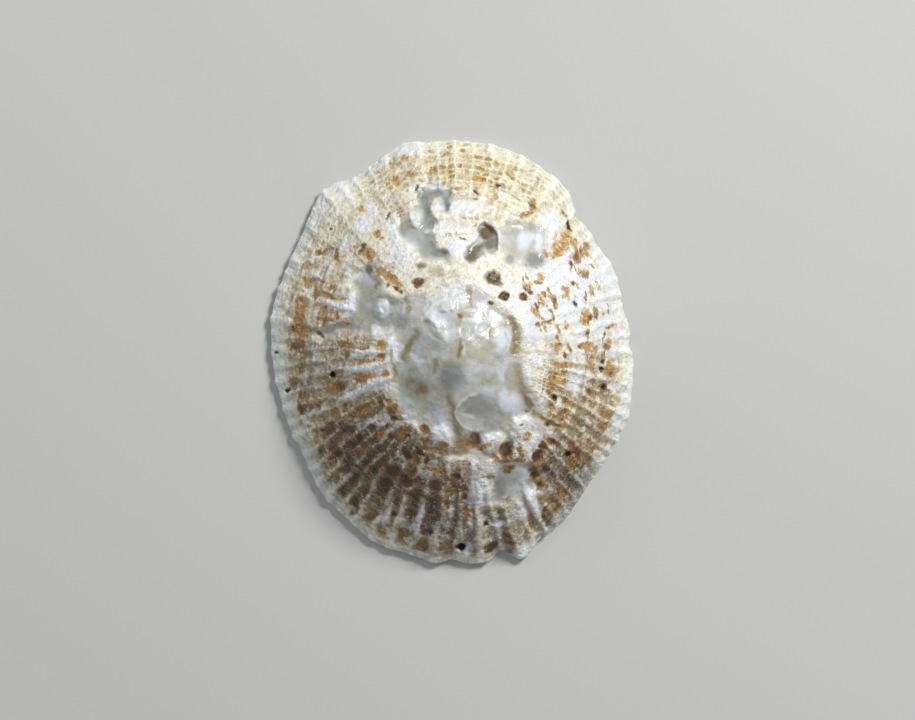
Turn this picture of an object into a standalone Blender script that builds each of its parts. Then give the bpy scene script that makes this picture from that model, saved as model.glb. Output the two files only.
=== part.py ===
"""A limpet shell, grown as one piece, standing on its rim with the crown up.

Metres, +Z up and +Y along the shell's long axis. The origin is on the ground, under the middle of the shell.
The outer surface is a turned dome whose vertices are moved by a few rules: the outline of the margin, the slope of a
limpet's cone, its radial ribs, its growth ledges, and the places where the ribbed outer layer is worn away. A smooth
turned cavity is then cut from below, which leaves the wall and a flat ring for the shell to rest on.
"""

import math

import bmesh
import bpy
import numpy as np

MM = 0.001

# Overall size, in millimetres
HALF_WIDTH = 5.11
HALF_LENGTH = 5.98
HEIGHT = 3.75
APEX = (0.25, 0.13)  # where the ribs would meet, seen from above
MARGIN_THICKNESS = 0.22
MARGIN_UNDERCUT = 0.07  # how far the ground contact lies inside the margin's edge
RIM_WIDTH = 0.32  # the flat ring underneath, from the margin's edge to the cavity
CROWN_WALL = 0.60

# The cone: its slope steepens outwards, and a round top replaces the point
CONE_POWER = 1.25
TOP_ROUNDING = 0.22  # as a share of the way from the apex to the margin

# Lobes and notches of the margin: bearing in degrees from +X, half-width in degrees, reach in millimetres
MARGIN_LOBES = (
    (2, 3, -0.12),
    (16, 10, -0.19),
    (39, 11, -0.31),
    (48, 3.5, -0.20),
    (75, 8, 0.03),
    (103, 4, 0.15),
    (119, 5, -0.12),
    (129, 8, 0.27),
    (167, 9, 0.09),
    (196, 10, -0.10),
    (214, 12, -0.22),
    (237, 8, -0.12),
    (257, 7, -0.10),
    (270, 2.5, -0.15),
    (277, 3.5, 0.02),
    (283.5, 2, -0.22),
    (289.5, 3.5, 0.27),
    (317, 10, -0.14),
    (341, 6, 0.07),
)

# Ribs run from apex to margin, with one spoke of the mesh on each crest and one in each gap
RIBS = 72
SPOKES = 2 * RIBS
RIB_HEIGHT = 0.055
RIB_STARTS, RIB_FULL = 0.30, 0.75  # shares of the way out where the ribs begin and reach full height
SCALLOP = 0.035  # how far a rib's end stands out at the margin

# Growth ledges, where an older layer's edge overhangs the next: share of the way out, and height in millimetres
LEDGES = ((0.60, 0.05), (0.785, 0.09), (0.905, 0.08))
LEDGE_RUN = 0.05  # the share over which a ledge's lip rises

# Patches where the ribbed outer layer has gone: depth, then the outline as (x, y), in millimetres
WORN_PATCHES = {
    "crown": (
        0.14,
        (
            (-1.33, 1.37), (-0.93, 1.40), (-0.71, 0.92), (-0.03, 0.86), (0.62, 1.00), (1.50, 0.97),
            (1.75, 0.58), (1.72, -0.07), (1.78, -0.78), (2.32, -1.68), (2.40, -2.13), (1.95, -2.30),
            (1.55, -2.67), (0.93, -2.84), (0.11, -2.84), (-0.08, -2.30), (-0.71, -1.99), (-1.52, -1.37),
            (-1.61, -0.89), (-1.52, -0.27), (-1.61, 0.35), (-1.89, 0.69),
        ),
    ),
    "trough": (
        0.14,
        (
            (-2.32, 2.39), (-2.09, 1.93), (-2.20, 1.48), (-1.64, 1.34), (-1.33, 1.37), (-1.38, 0.86),
            (-1.89, 0.64), (-2.74, 0.55), (-3.47, 0.47), (-3.81, 0.61), (-3.02, 0.78), (-2.71, 1.14),
            (-2.63, 1.60), (-2.77, 1.93),
        ),
    ),
    "upper": (
        0.12,
        (
            (-0.93, 4.62), (-0.48, 4.59), (-0.03, 4.53), (0.03, 4.22), (-0.17, 3.94), (-0.65, 4.14),
            (-0.62, 3.63), (-0.73, 3.23), (-0.45, 2.89), (-0.11, 2.58), (-0.82, 2.56), (-1.52, 3.18),
            (-1.50, 3.68), (-1.16, 3.91),
        ),
    ),
    "shoulder": (
        0.10,
        (
            (1.89, 3.52), (2.46, 3.52), (2.60, 2.89), (2.48, 2.53), (2.17, 2.27), (1.86, 2.61),
            (1.50, 2.50), (1.41, 3.18), (1.61, 3.57),
        ),
    ),
    "hollow": (
        0.14,
        (
            (1.21, -3.12), (1.84, -3.15), (2.63, -3.35), (2.65, -3.66), (2.12, -3.97), (1.50, -4.25),
            (1.04, -4.19), (1.13, -3.63),
        ),
    ),
}
PATCH_EDGE = 0.18  # the width of the step down into a patch

# Pits eaten into the surface: x, y, radius and depth, in millimetres
PITS = (
    (0.96, 3.29, 0.27, 0.20),
    (0.56, 2.81, 0.24, 0.18),
    (1.10, 1.99, 0.24, 0.16),
    (1.38, 1.51, 0.20, 0.14),
    (0.73, -1.62, 0.59, 0.08),
    (-0.08, -0.55, 0.40, 0.07),
    (-0.82, 0.07, 0.37, 0.06),
    (1.47, -2.67, 0.25, 0.14),
    (3.22, -2.87, 0.22, 0.12),
    (0.23, -5.46, 0.20, 0.12),
    (-3.42, -0.61, 0.22, 0.12),
    (-2.34, 2.27, 0.20, 0.12),
)

# The mesh: rings of the turned dome as shares of the way out, closer together where there is more to show
CORE_RINGS = np.linspace(0.05, 0.30, 6)
OUTER_RINGS = np.linspace(0.335, 1.0, 22)
CAVITY_SPOKES = 60
CAVITY_RINGS = np.linspace(0.14, 1.0, 8)
CUT_BELOW = 0.4  # how far the cavity's cutter reaches under the ground plane

SHELL_COLOUR = (0.62, 0.53, 0.40, 1.0)
SHELL_ROUGHNESS = 0.42


def smooth_step(value):
    """0 below 0, 1 above 1, and a smooth rise between."""
    value = np.clip(value, 0.0, 1.0)
    return value * value * (3.0 - 2.0 * value)


def margin(bearing, scallop):
    """The shell's edge as (x, y), seen from above: an ellipse, its lobes and notches, and a scallop at each rib."""
    radius = 1.0 / np.hypot(np.cos(bearing) / HALF_WIDTH, np.sin(bearing) / HALF_LENGTH)
    degrees = np.degrees(bearing)
    for centre, half_width, reach in MARGIN_LOBES:
        away = (degrees - centre + 180.0) % 360.0 - 180.0
        radius = radius + reach * np.exp(-((away / half_width) ** 2))
    radius = radius + scallop * np.cos(RIBS * bearing)
    return radius * np.cos(bearing), radius * np.sin(bearing)


def seen_from_above(bearing, share, scallop):
    """The point that lies this share of the way from the apex to the margin."""
    edge_x, edge_y = margin(bearing, scallop)
    return APEX[0] + share * (edge_x - APEX[0]), APEX[1] + share * (edge_y - APEX[1])


def cone_fall(share):
    """How far the unworn cone has fallen: 0 at the apex and 1 at the margin."""
    rounded = (share**2 + TOP_ROUNDING**2) ** (CONE_POWER / 2) - TOP_ROUNDING**CONE_POWER
    return rounded / ((1.0 + TOP_ROUNDING**2) ** (CONE_POWER / 2) - TOP_ROUNDING**CONE_POWER)


def inside_by(x, y, outline):
    """How far each point lies inside a closed outline, negative outside it."""
    nearest = np.full(x.shape, np.inf)
    crossings = np.zeros(x.shape, int)
    for (x0, y0), (x1, y1) in zip(outline, outline[1:] + outline[:1]):
        run, rise = x1 - x0, y1 - y0
        along = np.clip(((x - x0) * run + (y - y0) * rise) / (run**2 + rise**2), 0.0, 1.0)
        nearest = np.minimum(nearest, np.hypot(x - x0 - along * run, y - y0 - along * rise))
        if rise:
            spans = (y0 > y) != (y1 > y)
            crossings += spans & (x < x0 + (y - y0) * run / rise)
    return np.where(crossings % 2 == 1, nearest, -nearest)


def worn_away(x, y):
    """(how bare a point is, from 0 to 1, and how deep the missing layer was)."""
    bare, depth = np.zeros(x.shape), np.zeros(x.shape)
    for patch_depth, outline in WORN_PATCHES.values():
        share = smooth_step(0.5 + inside_by(x, y, outline) / PATCH_EDGE)
        bare = np.maximum(bare, share)
        depth = np.maximum(depth, share * patch_depth)
    return bare, depth


def pitted(x, y):
    """The depth of the pits at each point: steep sides and a flat floor."""
    depth = np.zeros(x.shape)
    for pit_x, pit_y, radius, pit_depth in PITS:
        away = np.hypot(x - pit_x, y - pit_y) / radius
        depth = np.maximum(depth, pit_depth * smooth_step((1.25 - away) / 0.6))
    return depth


def ledge_height(share):
    """The lip of each growth ledge: it rises outwards and ends in a step down."""
    height = np.zeros(share.shape)
    for at, lip in LEDGES:
        height += np.where(share <= at, lip * np.exp((share - at) / LEDGE_RUN), 0.0)
    return height


def outer_height(bearing, share, x, y):
    """The height of the outer surface above the ground."""
    fresh = MARGIN_THICKNESS + (HEIGHT + WORN_PATCHES["crown"][0] - MARGIN_THICKNESS) * (1.0 - cone_fall(share))
    bare, depth = worn_away(x, y)
    ribs = RIB_HEIGHT * np.cos(RIBS * bearing) * smooth_step((share - RIB_STARTS) / (RIB_FULL - RIB_STARTS))
    return fresh + (ribs + ledge_height(share)) * (1.0 - bare) - depth - pitted(x, y)


def turned(name, profile, spokes):
    """A closed mesh turned about Z from a profile of (radius, height) that runs from the top down to the axis."""
    mesh = bpy.data.meshes.new(name)
    points = [(radius, 0.0, height) for radius, height in profile]
    mesh.from_pydata(points, [(i, i + 1) for i in range(len(points) - 1)], [])
    blank = bpy.data.objects.new(name, mesh)
    bpy.context.scene.collection.objects.link(blank)
    screw = blank.modifiers.new("turn", "SCREW")
    screw.axis = "Z"
    screw.angle = math.tau
    screw.steps = screw.render_steps = spokes
    screw.use_merge_vertices = True
    screw.merge_threshold = 0.0001
    graph = bpy.context.evaluated_depsgraph_get()
    solid = bpy.data.meshes.new_from_object(blank.evaluated_get(graph))
    bpy.data.objects.remove(blank)
    return solid


def reshape(mesh, place):
    """Moves every vertex of a turned mesh: place takes bearings, radii and heights, and returns x, y, z in millimetres."""
    points = np.empty(3 * len(mesh.vertices), np.float32)
    mesh.vertices.foreach_get("co", points)
    x, y, z = points.reshape(-1, 3).astype(float).T
    moved = np.stack(place(np.arctan2(y, x), np.hypot(x, y), z), axis=1)
    mesh.vertices.foreach_set("co", (moved * MM).astype(np.float32).ravel())
    mesh.update()


def dome_mesh():
    """The shell with no cavity yet. Its blank has radius 1 at the margin, height 1 there, and height 0 underneath."""
    rings = [0.0, *CORE_RINGS, *OUTER_RINGS]
    profile = [(share, 2.0 - share) for share in rings] + [(1.0 - MARGIN_UNDERCUT / HALF_LENGTH, 0.0), (0.0, 0.0)]
    mesh = turned("dome", profile, SPOKES)

    def place(bearing, share, blank_height):
        x, y = seen_from_above(bearing, share, SCALLOP)
        return x, y, np.where(blank_height > 0.5, outer_height(bearing, share, x, y), 0.0)

    reshape(mesh, place)
    return mesh


def cavity_mesh():
    """The hollow under the shell, carried on below the ground so that it cuts the rim cleanly."""
    profile = [(share, 2.0 - share) for share in [0.0, *CAVITY_RINGS]] + [(1.0, 0.0), (0.0, 0.0)]
    mesh = turned("cavity", profile, CAVITY_SPOKES)

    def place(bearing, share, blank_height):
        edge_x, edge_y = margin(bearing, 0.0)
        reach = 1.0 - RIM_WIDTH / np.hypot(edge_x - APEX[0], edge_y - APEX[1])
        x, y = seen_from_above(bearing, share * reach, 0.0)
        roof = (HEIGHT - CROWN_WALL) * (1.0 - cone_fall(share))
        return x, y, np.where(blank_height > 0.5, roof, -CUT_BELOW)

    reshape(mesh, place)
    return mesh


def shell_material():
    """Worn, slightly glossy lime shell in its average colour."""
    material = bpy.data.materials.new("shell")
    material.use_nodes = True
    surface = material.node_tree.nodes["Principled BSDF"]
    surface.inputs["Base Color"].default_value = SHELL_COLOUR
    surface.inputs["Roughness"].default_value = SHELL_ROUGHNESS
    surface.inputs["Metallic"].default_value = 0.0
    return material


def main():
    for old in list(bpy.data.objects):
        bpy.data.objects.remove(old)
    parts = bpy.data.collections.new("limpet_shell")
    cutters = bpy.data.collections.new("cutters")
    for collection in (parts, cutters):
        bpy.context.scene.collection.children.link(collection)

    cavity = bpy.data.objects.new("cavity_cutter", cavity_mesh())
    cavity.hide_render = True
    cavity.display_type = "WIRE"
    cutters.objects.link(cavity)

    shell = bpy.data.objects.new("shell", dome_mesh())
    shell.data.materials.append(shell_material())
    shell.data.shade_smooth()
    parts.objects.link(shell)
    hollow = shell.modifiers.new("hollow_out", "BOOLEAN")
    hollow.operation = "DIFFERENCE"
    hollow.object = cavity


main()
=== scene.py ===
# %% [markdown]
# # A worn limpet shell
#
# A limpet grows its shell by adding lime at the edge, so the whole shell is one low cone with a rule
# behind it: ribs run out from the apex, and fine growth threads run round it. Time then works against the
# rule. The ribbed outer layer chips off in patches, the crown wears down to a smooth glassy layer, and
# small animals bore pits. This lesson builds both halves: the rule with a computed mesh and Geometry
# Nodes, and the wear with lists of places.
#
# The plain model comes first. Everything below is measured in its frame: +Z up, +Y along the shell.

# %% Load the plain model
import math

import bpy
import numpy as np
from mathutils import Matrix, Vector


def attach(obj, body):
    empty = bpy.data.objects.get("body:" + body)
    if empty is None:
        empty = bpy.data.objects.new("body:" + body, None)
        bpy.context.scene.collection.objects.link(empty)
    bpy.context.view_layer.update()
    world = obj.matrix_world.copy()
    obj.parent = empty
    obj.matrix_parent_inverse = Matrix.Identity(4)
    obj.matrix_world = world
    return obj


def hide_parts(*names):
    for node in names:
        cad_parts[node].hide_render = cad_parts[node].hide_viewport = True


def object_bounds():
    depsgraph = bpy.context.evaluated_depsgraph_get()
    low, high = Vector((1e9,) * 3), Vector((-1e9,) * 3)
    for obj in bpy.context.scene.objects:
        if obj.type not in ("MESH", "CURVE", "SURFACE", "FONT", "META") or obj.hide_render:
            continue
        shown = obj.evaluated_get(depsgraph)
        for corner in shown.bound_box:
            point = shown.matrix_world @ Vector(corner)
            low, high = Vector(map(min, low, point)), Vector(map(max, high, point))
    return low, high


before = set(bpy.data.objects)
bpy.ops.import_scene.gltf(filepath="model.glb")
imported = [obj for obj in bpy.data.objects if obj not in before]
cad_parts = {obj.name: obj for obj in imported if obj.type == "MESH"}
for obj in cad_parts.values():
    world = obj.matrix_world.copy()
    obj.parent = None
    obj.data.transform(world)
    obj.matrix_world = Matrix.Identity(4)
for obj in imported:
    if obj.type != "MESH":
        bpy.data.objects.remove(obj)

MM = 0.001
CAD_LOW, CAD_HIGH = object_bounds()
print("plain model, in mm:", [round(side / MM, 2) for side in CAD_HIGH - CAD_LOW])

# %% [markdown]
# ## Camera, floor and light
#
# The shell is small and was photographed from straight above. A long lens far away keeps the steep sides
# from leaning, as the real close-up does. The framing is worked out from the scale: one pixel is a known
# length at the height of the rim, and the middle of the picture lies a little to the lower right of the
# shell's middle.

# %% Place the camera over the shell
PIXEL = 0.028235 * MM
PICTURE_WIDTH = 915
PICTURE_MIDDLE = (457.5, 360.0)  # in pixels, from the top left
SHELL_MIDDLE = (453.0, 352.5)
RIM_HEIGHT = 0.2 * MM
LENS, SENSOR = 135.0, 36.0
SEEN_FROM, SEEN_TO = 1 * MM, 2.0  # the nearest and farthest that the camera sees


def add_to_scene(thing):
    bpy.context.scene.collection.objects.link(thing)


def place_camera():
    data = bpy.data.cameras.new("straight_down")
    data.lens, data.sensor_width = LENS, SENSOR
    data.clip_start, data.clip_end = SEEN_FROM, SEEN_TO
    camera = bpy.data.objects.new("straight_down", data)
    right = (PICTURE_MIDDLE[0] - SHELL_MIDDLE[0]) * PIXEL
    up = (SHELL_MIDDLE[1] - PICTURE_MIDDLE[1]) * PIXEL
    away = PICTURE_WIDTH * PIXEL / SENSOR * LENS
    camera.location = (right, up, RIM_HEIGHT + away)
    add_to_scene(camera)
    bpy.context.scene.camera = camera
    return camera


camera = place_camera()
print("camera height, in mm:", round(camera.location.z / MM, 1))

# %% Lay the floor and set the lights
FLOOR_SIZE = 1.2
FLOOR_GAP = 0.01 * MM  # keeps the floor just clear of the flat rim
FLOOR_PAINT = {"Base Color": (0.56, 0.56, 0.55, 1), "Roughness": 0.85}
LIGHTS = {
    # name: (place in mm, width in mm, watts, colour)
    "key_upper_right": ((70, 75, 95), 38, 0.188, (1.0, 0.988, 0.96)),
    "fill_left": ((-100, 60, 90), 90, 0.040, (0.90, 0.95, 1.0)),
    "fill_below": ((20, -120, 80), 80, 0.014, (1.0, 0.98, 0.96)),
}
ROOM_LIGHT = {"Color": (0.95, 0.97, 1.0, 1), "Strength": 0.20}


def new_material(name, constants):
    """A material whose shader has these plain values, and the shader's inputs."""
    material = bpy.data.materials.new(name)
    material.use_nodes = True
    inputs = material.node_tree.nodes["Principled BSDF"].inputs
    for label, value in constants.items():
        inputs[label].default_value = value
    return material, inputs


def add_floor():
    half = FLOOR_SIZE / 2
    mesh = bpy.data.meshes.new("floor")
    corners = [(-half, -half), (half, -half), (half, half), (-half, half)]
    mesh.from_pydata([(x, y, -FLOOR_GAP) for x, y in corners], [], [(0, 1, 2, 3)])
    floor = bpy.data.objects.new("floor", mesh)
    add_to_scene(floor)
    mesh.materials.append(new_material("pale_floor", FLOOR_PAINT)[0])


def add_light(name, place, width, watts, colour):
    data = bpy.data.lights.new(name, "AREA")
    data.size, data.energy, data.color = width * MM, watts, colour
    lamp = bpy.data.objects.new(name, data)
    lamp.location = [side * MM for side in place]
    lamp.rotation_euler = lamp.location.to_track_quat("Z", "Y").to_euler()
    add_to_scene(lamp)


add_floor()
for name, settings in LIGHTS.items():
    add_light(name, *settings)
room = bpy.data.worlds.new("room")
room.use_nodes = True
for label, value in ROOM_LIGHT.items():
    room.node_tree.nodes["Background"].inputs[label].default_value = value
bpy.context.scene.world = room
bpy.context.scene.view_settings.view_transform = "Standard"
print("lights:", ", ".join(LIGHTS))

# %% [markdown]
# ## The outline and the cone
#
# Seen from above the margin is an oval with a few lobes and notches. An ellipse plus a list of bumps says
# that in a handful of numbers. Every other point of the shell lies some share of the way from the apex to
# the margin, and the cone's height depends on that share alone. The numbers are those of the plain model,
# in millimetres.

# %% Describe the margin and the cone
HALF_WIDTH = 5.11
HALF_LENGTH = 5.98
HEIGHT = CAD_HIGH.z / MM
APEX = (0.25, 0.13)
MARGIN_THICKNESS = 0.22
MARGIN_UNDERCUT = 0.07
RIM_WIDTH = 0.32
CROWN_WALL = 0.60
CONE_POWER = 1.25
TOP_ROUNDING = 0.22
LAYER = 0.14  # the thickness of the ribbed outer layer

# Bearing in degrees from +X, half-width in degrees, reach in millimetres
MARGIN_LOBES = (
    (2, 3, -0.12),
    (16, 10, -0.19),
    (39, 11, -0.31),
    (48, 3.5, -0.20),
    (75, 8, 0.03),
    (103, 4, 0.15),
    (119, 5, -0.12),
    (129, 8, 0.27),
    (167, 9, 0.09),
    (196, 10, -0.10),
    (214, 12, -0.22),
    (237, 8, -0.12),
    (257, 7, -0.10),
    (270, 2.5, -0.15),
    (277, 3.5, 0.02),
    (283.5, 2, -0.22),
    (289.5, 3.5, 0.27),
    (317, 10, -0.14),
    (341, 6, 0.07),
)
NARROW_LOBE = 20.0  # degrees: lobes narrower than this came late, so they fade quickly on the way in


def smooth_step(value):
    """0 below 0, 1 above 1, and a smooth rise between."""
    value = np.clip(value, 0.0, 1.0)
    return value * value * (3.0 - 2.0 * value)


def margin(bearing, share=1.0):
    """A point of the outline, which was smoother when the shell was only a share of its size."""
    radius = 1.0 / np.hypot(np.cos(bearing) / HALF_WIDTH, np.sin(bearing) / HALF_LENGTH)
    degrees = np.degrees(bearing)
    for centre, half_width, reach in MARGIN_LOBES:
        away = (degrees - centre + 180.0) % 360.0 - 180.0
        grown_in = share ** (NARROW_LOBE / half_width)
        radius = radius + reach * grown_in * np.exp(-((away / half_width) ** 2))
    return radius * np.cos(bearing), radius * np.sin(bearing)


def seen_from_above(bearing, share):
    edge_x, edge_y = margin(bearing, share)
    return APEX[0] + share * (edge_x - APEX[0]), APEX[1] + share * (edge_y - APEX[1])


def cone_fall(share):
    """How far the cone has fallen: 0 at the apex and 1 at the margin."""
    rounded = (share**2 + TOP_ROUNDING**2) ** (CONE_POWER / 2) - TOP_ROUNDING**CONE_POWER
    return rounded / ((1.0 + TOP_ROUNDING**2) ** (CONE_POWER / 2) - TOP_ROUNDING**CONE_POWER)


print("the cone falls", round(HEIGHT - MARGIN_THICKNESS, 2), "mm from crown to margin")

# %% [markdown]
# ## A net of rings and spokes
#
# A plain polar grid would crowd its faces at the apex and stretch them at the margin. So the number of
# spokes doubles as the rings widen, and every face stays about the same size. The same net goes on round
# the edge, under the rim and up into the hollow, so the shell is one closed skin. Each point remembers
# how far round it lies, how far out, and which side of the shell it is on.

# %% Lay out the rings
RIBS = 72
RING_STEP = 0.0068  # as a share of the way out
MARGIN_SPOKES = 864
SPOKES_FROM = ((0.0, 54), (0.0625, 108), (0.125, 216), (0.25, 432), (0.5, MARGIN_SPOKES))
# Down the edge: share of the way out, lift as a share of the margin's thickness
EDGE_RINGS = ((1.0, 0.62), (0.998, 0.28), (1.0 - MARGIN_UNDERCUT / HALF_LENGTH, 0.0))
HOLLOW_RINGS = 30
OUTSIDE, UNDERSIDE = 0, 1


def spokes_at(share):
    return max(spokes for start, spokes in SPOKES_FROM if share > start)


def ring_plan():
    """(share of the way out, spokes, kind, lift) for each ring, from the crown round to the hollow's roof."""
    shares = np.linspace(RING_STEP, 1.0, round(1 / RING_STEP))
    plan = [(share, spokes_at(share), "outer", 0.0) for share in shares]
    plan += [(share, MARGIN_SPOKES, "edge", lift) for share, lift in EDGE_RINGS]
    plan += [(1.0, MARGIN_SPOKES // 2, "hollow", 0.0)]
    shares = np.linspace(1.0, 0.0, HOLLOW_RINGS)[1:-1]
    return plan + [(share, MARGIN_SPOKES // 4, "hollow", 0.0) for share in shares]


def stitch(first, first_count, second, second_count):
    """The faces between two neighbouring rings, where one may have twice or half the other's points."""
    faces = []
    for i in range(min(first_count, second_count)):
        j = (i + 1) % min(first_count, second_count)
        if first_count == second_count:
            faces.append((first + i, second + i, second + j, first + j))
        elif first_count < second_count:
            a, b, c = second + 2 * i, second + 2 * i + 1, second + (2 * i + 2) % second_count
            faces += [(first + i, a, b), (first + i, b, first + j), (first + j, b, c)]
        else:
            a, b, c = first + 2 * i, first + 2 * i + 1, first + (2 * i + 2) % first_count
            faces += [(a, second + i, b), (second + i, second + j, b), (b, second + j, c)]
    return faces


PLAN = ring_plan()
print(len(PLAN), "rings,", sum(spokes for _, spokes, _, _ in PLAN), "points")

# %% [markdown]
# ## Soft random ground
#
# Wear never follows a clean line. A value that wanders smoothly over the surface bends every edge a
# little. A lattice of seeded random numbers, blended between its points, is enough, and it gives the same
# result on every run.

# %% Make smooth random fields
LATTICE = 64
FINER = 0.4  # the second, finer push is this much smaller in width and in strength


def wander(x, y, lump, seed):
    """A smooth random value between -1 and 1, with lumps about as wide as given in millimetres."""
    lattice = np.random.default_rng(seed).uniform(-1.0, 1.0, (LATTICE, LATTICE))
    across, along = x / lump + LATTICE / 2, y / lump + LATTICE / 2
    column, row = np.floor(across).astype(int), np.floor(along).astype(int)
    right, up = smooth_step(across - column), smooth_step(along - row)
    corner = [[lattice[(row + j) % LATTICE, (column + i) % LATTICE] for i in (0, 1)] for j in (0, 1)]
    low = corner[0][0] * (1 - right) + corner[0][1] * right
    high = corner[1][0] * (1 - right) + corner[1][1] * right
    return low * (1 - up) + high * up


def frayed(x, y, amount, lump, seed):
    """The same points, pushed about so that shapes tested against them get natural edges."""
    push_x = wander(x, y, lump, seed) + FINER * wander(x, y, lump * FINER, seed + 1)
    push_y = wander(x, y, lump, seed + 2) + FINER * wander(x, y, lump * FINER, seed + 3)
    return x + amount * push_x, y + amount * push_y


def wandering(x, y, fields, seed):
    """The sum of several random values, each with its own width of lumps and reach."""
    return sum(reach * wander(x, y, lump, seed + i) for i, (lump, reach) in enumerate(fields))


print("a random value at the middle:", round(float(wander(0.0, 0.0, 1.0, 21)), 3))

# %% [markdown]
# ## Where the outer layer has gone
#
# The bare patches give this shell its look: the crown, a trough to its left, smaller ones above and
# below. Each is an outline of a few points. The outer layer ends in a small cliff there, and its broken
# edge catches the light, so the distance to the outline is kept: it gives both the step and a pale rim.

# %% Outline the bare patches
# Each patch: how wide the step down to it is, then its outline
BARE_PATCHES = {
    "crown": (0.65, (
        (-1.33, 1.37), (-0.93, 1.40), (-0.60, 1.35), (-0.10, 1.55), (0.60, 1.60), (1.10, 1.35),
        (1.50, 0.97), (1.75, 0.58), (1.72, -0.07), (1.78, -0.78), (2.32, -1.68), (2.40, -2.13), (1.95, -2.30),
        (1.55, -2.67), (0.93, -2.84), (0.11, -2.84), (-0.08, -2.30), (-0.71, -1.99), (-1.52, -1.37),
        (-1.61, -0.89), (-1.52, -0.27), (-1.61, 0.35), (-1.89, 0.69),
    )),
    "trough": (0.42, (
        (-2.32, 2.39), (-2.09, 1.93), (-2.20, 1.48), (-1.64, 1.34), (-1.33, 1.37), (-1.38, 0.86),
        (-1.89, 0.64), (-2.74, 0.55), (-3.47, 0.47), (-3.81, 0.61), (-3.02, 0.78), (-2.71, 1.14),
        (-2.63, 1.60), (-2.77, 1.93),
    )),
    "upper": (0.26, (
        (-0.90, 4.59), (-0.71, 4.64), (-0.54, 4.56), (-0.34, 4.50), (-0.11, 4.53), (0.00, 4.33),
        (-0.11, 4.14), (-0.17, 3.91), (-0.28, 4.11), (-0.37, 4.31), (-0.54, 4.31), (-0.65, 4.14),
        (-0.68, 3.91), (-0.59, 3.68), (-0.51, 3.57), (-0.68, 3.43), (-0.65, 3.23), (-0.54, 3.01),
        (-0.40, 2.81), (-0.14, 2.67), (-0.17, 2.53), (-0.48, 2.53), (-0.82, 2.56), (-1.04, 2.84),
        (-1.24, 3.04), (-1.50, 3.12), (-1.52, 3.46), (-1.44, 3.71), (-1.16, 3.91), (-0.96, 4.19),
    )),
    "window": (0.13, (
        (0.73, 3.37), (0.82, 3.54), (0.96, 3.57), (1.10, 3.46), (1.24, 3.29), (1.27, 3.04),
        (1.21, 2.87), (1.04, 2.81), (0.82, 2.84), (0.68, 2.67), (0.59, 2.50), (0.48, 2.44),
        (0.34, 2.53), (0.28, 2.64), (0.40, 2.84), (0.54, 2.98), (0.71, 3.06), (0.76, 3.20),
    )),
    "shoulder": (0.35, (
        (1.89, 3.52), (2.46, 3.52), (2.60, 2.89), (2.48, 2.53), (2.17, 2.27), (1.86, 2.61),
        (1.50, 2.50), (1.41, 3.18), (1.61, 3.57),
    )),
    "hollow": (0.48, (
        (1.21, -3.12), (1.84, -3.15), (2.63, -3.35), (2.65, -3.66), (2.12, -3.97), (1.50, -4.25),
        (1.04, -4.19), (1.13, -3.63),
    )),
}
SHARP_STEP = 0.30  # a step wider than this has no pale broken edge
SHARPENING = 0.15  # how much narrower a step is when its broken edge shows in full
STEP_OUTSIDE = 0.6  # the share of a step that lies outside its outline
PALE_RIM = 0.11  # how far from the outline the broken edge looks white


def from_line(x, y, start, end):
    """How far each point lies from a straight line between two others."""
    run, rise = end[0] - start[0], end[1] - start[1]
    along = np.clip(((x - start[0]) * run + (y - start[1]) * rise) / (run**2 + rise**2), 0.0, 1.0)
    return np.hypot(x - start[0] - along * run, y - start[1] - along * rise)


def inside_by(x, y, outline):
    """How far each point lies inside a closed outline, negative outside it."""
    nearest = np.full(x.shape, np.inf)
    crossings = np.zeros(x.shape, int)
    for (x0, y0), (x1, y1) in zip(outline, outline[1:] + outline[:1]):
        nearest = np.minimum(nearest, from_line(x, y, (x0, y0), (x1, y1)))
        if y0 != y1:
            spans = (y0 > y) != (y1 > y)
            crossings += spans & (x < x0 + (y - y0) * (x1 - x0) / (y1 - y0))
    return np.where(crossings % 2 == 1, nearest, -nearest)


def bare_fields(x, y):
    """How bare each point is, and how strongly a broken edge shows there."""
    x, y = frayed(x, y, 0.07, 0.45, seed=11)
    uneven = 0.95 + 0.35 * wander(x, y, 0.8, 21)
    bare, broken = np.zeros(x.shape), np.zeros(x.shape)
    for width, outline in BARE_PATCHES.values():
        depth_in = inside_by(x, y, outline)
        bare = np.maximum(bare, smooth_step(STEP_OUTSIDE + depth_in / (width * uneven)))
        sharp = smooth_step((SHARP_STEP - width * uneven) / SHARPENING)
        broken = np.maximum(broken, sharp * np.exp(-((depth_in / PALE_RIM) ** 2)))
    return bare, broken * (1.0 - bare) * smooth_step(0.6 + 0.9 * wander(x, y, 0.3, 22))


print("bare patches:", ", ".join(BARE_PATCHES))
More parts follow.
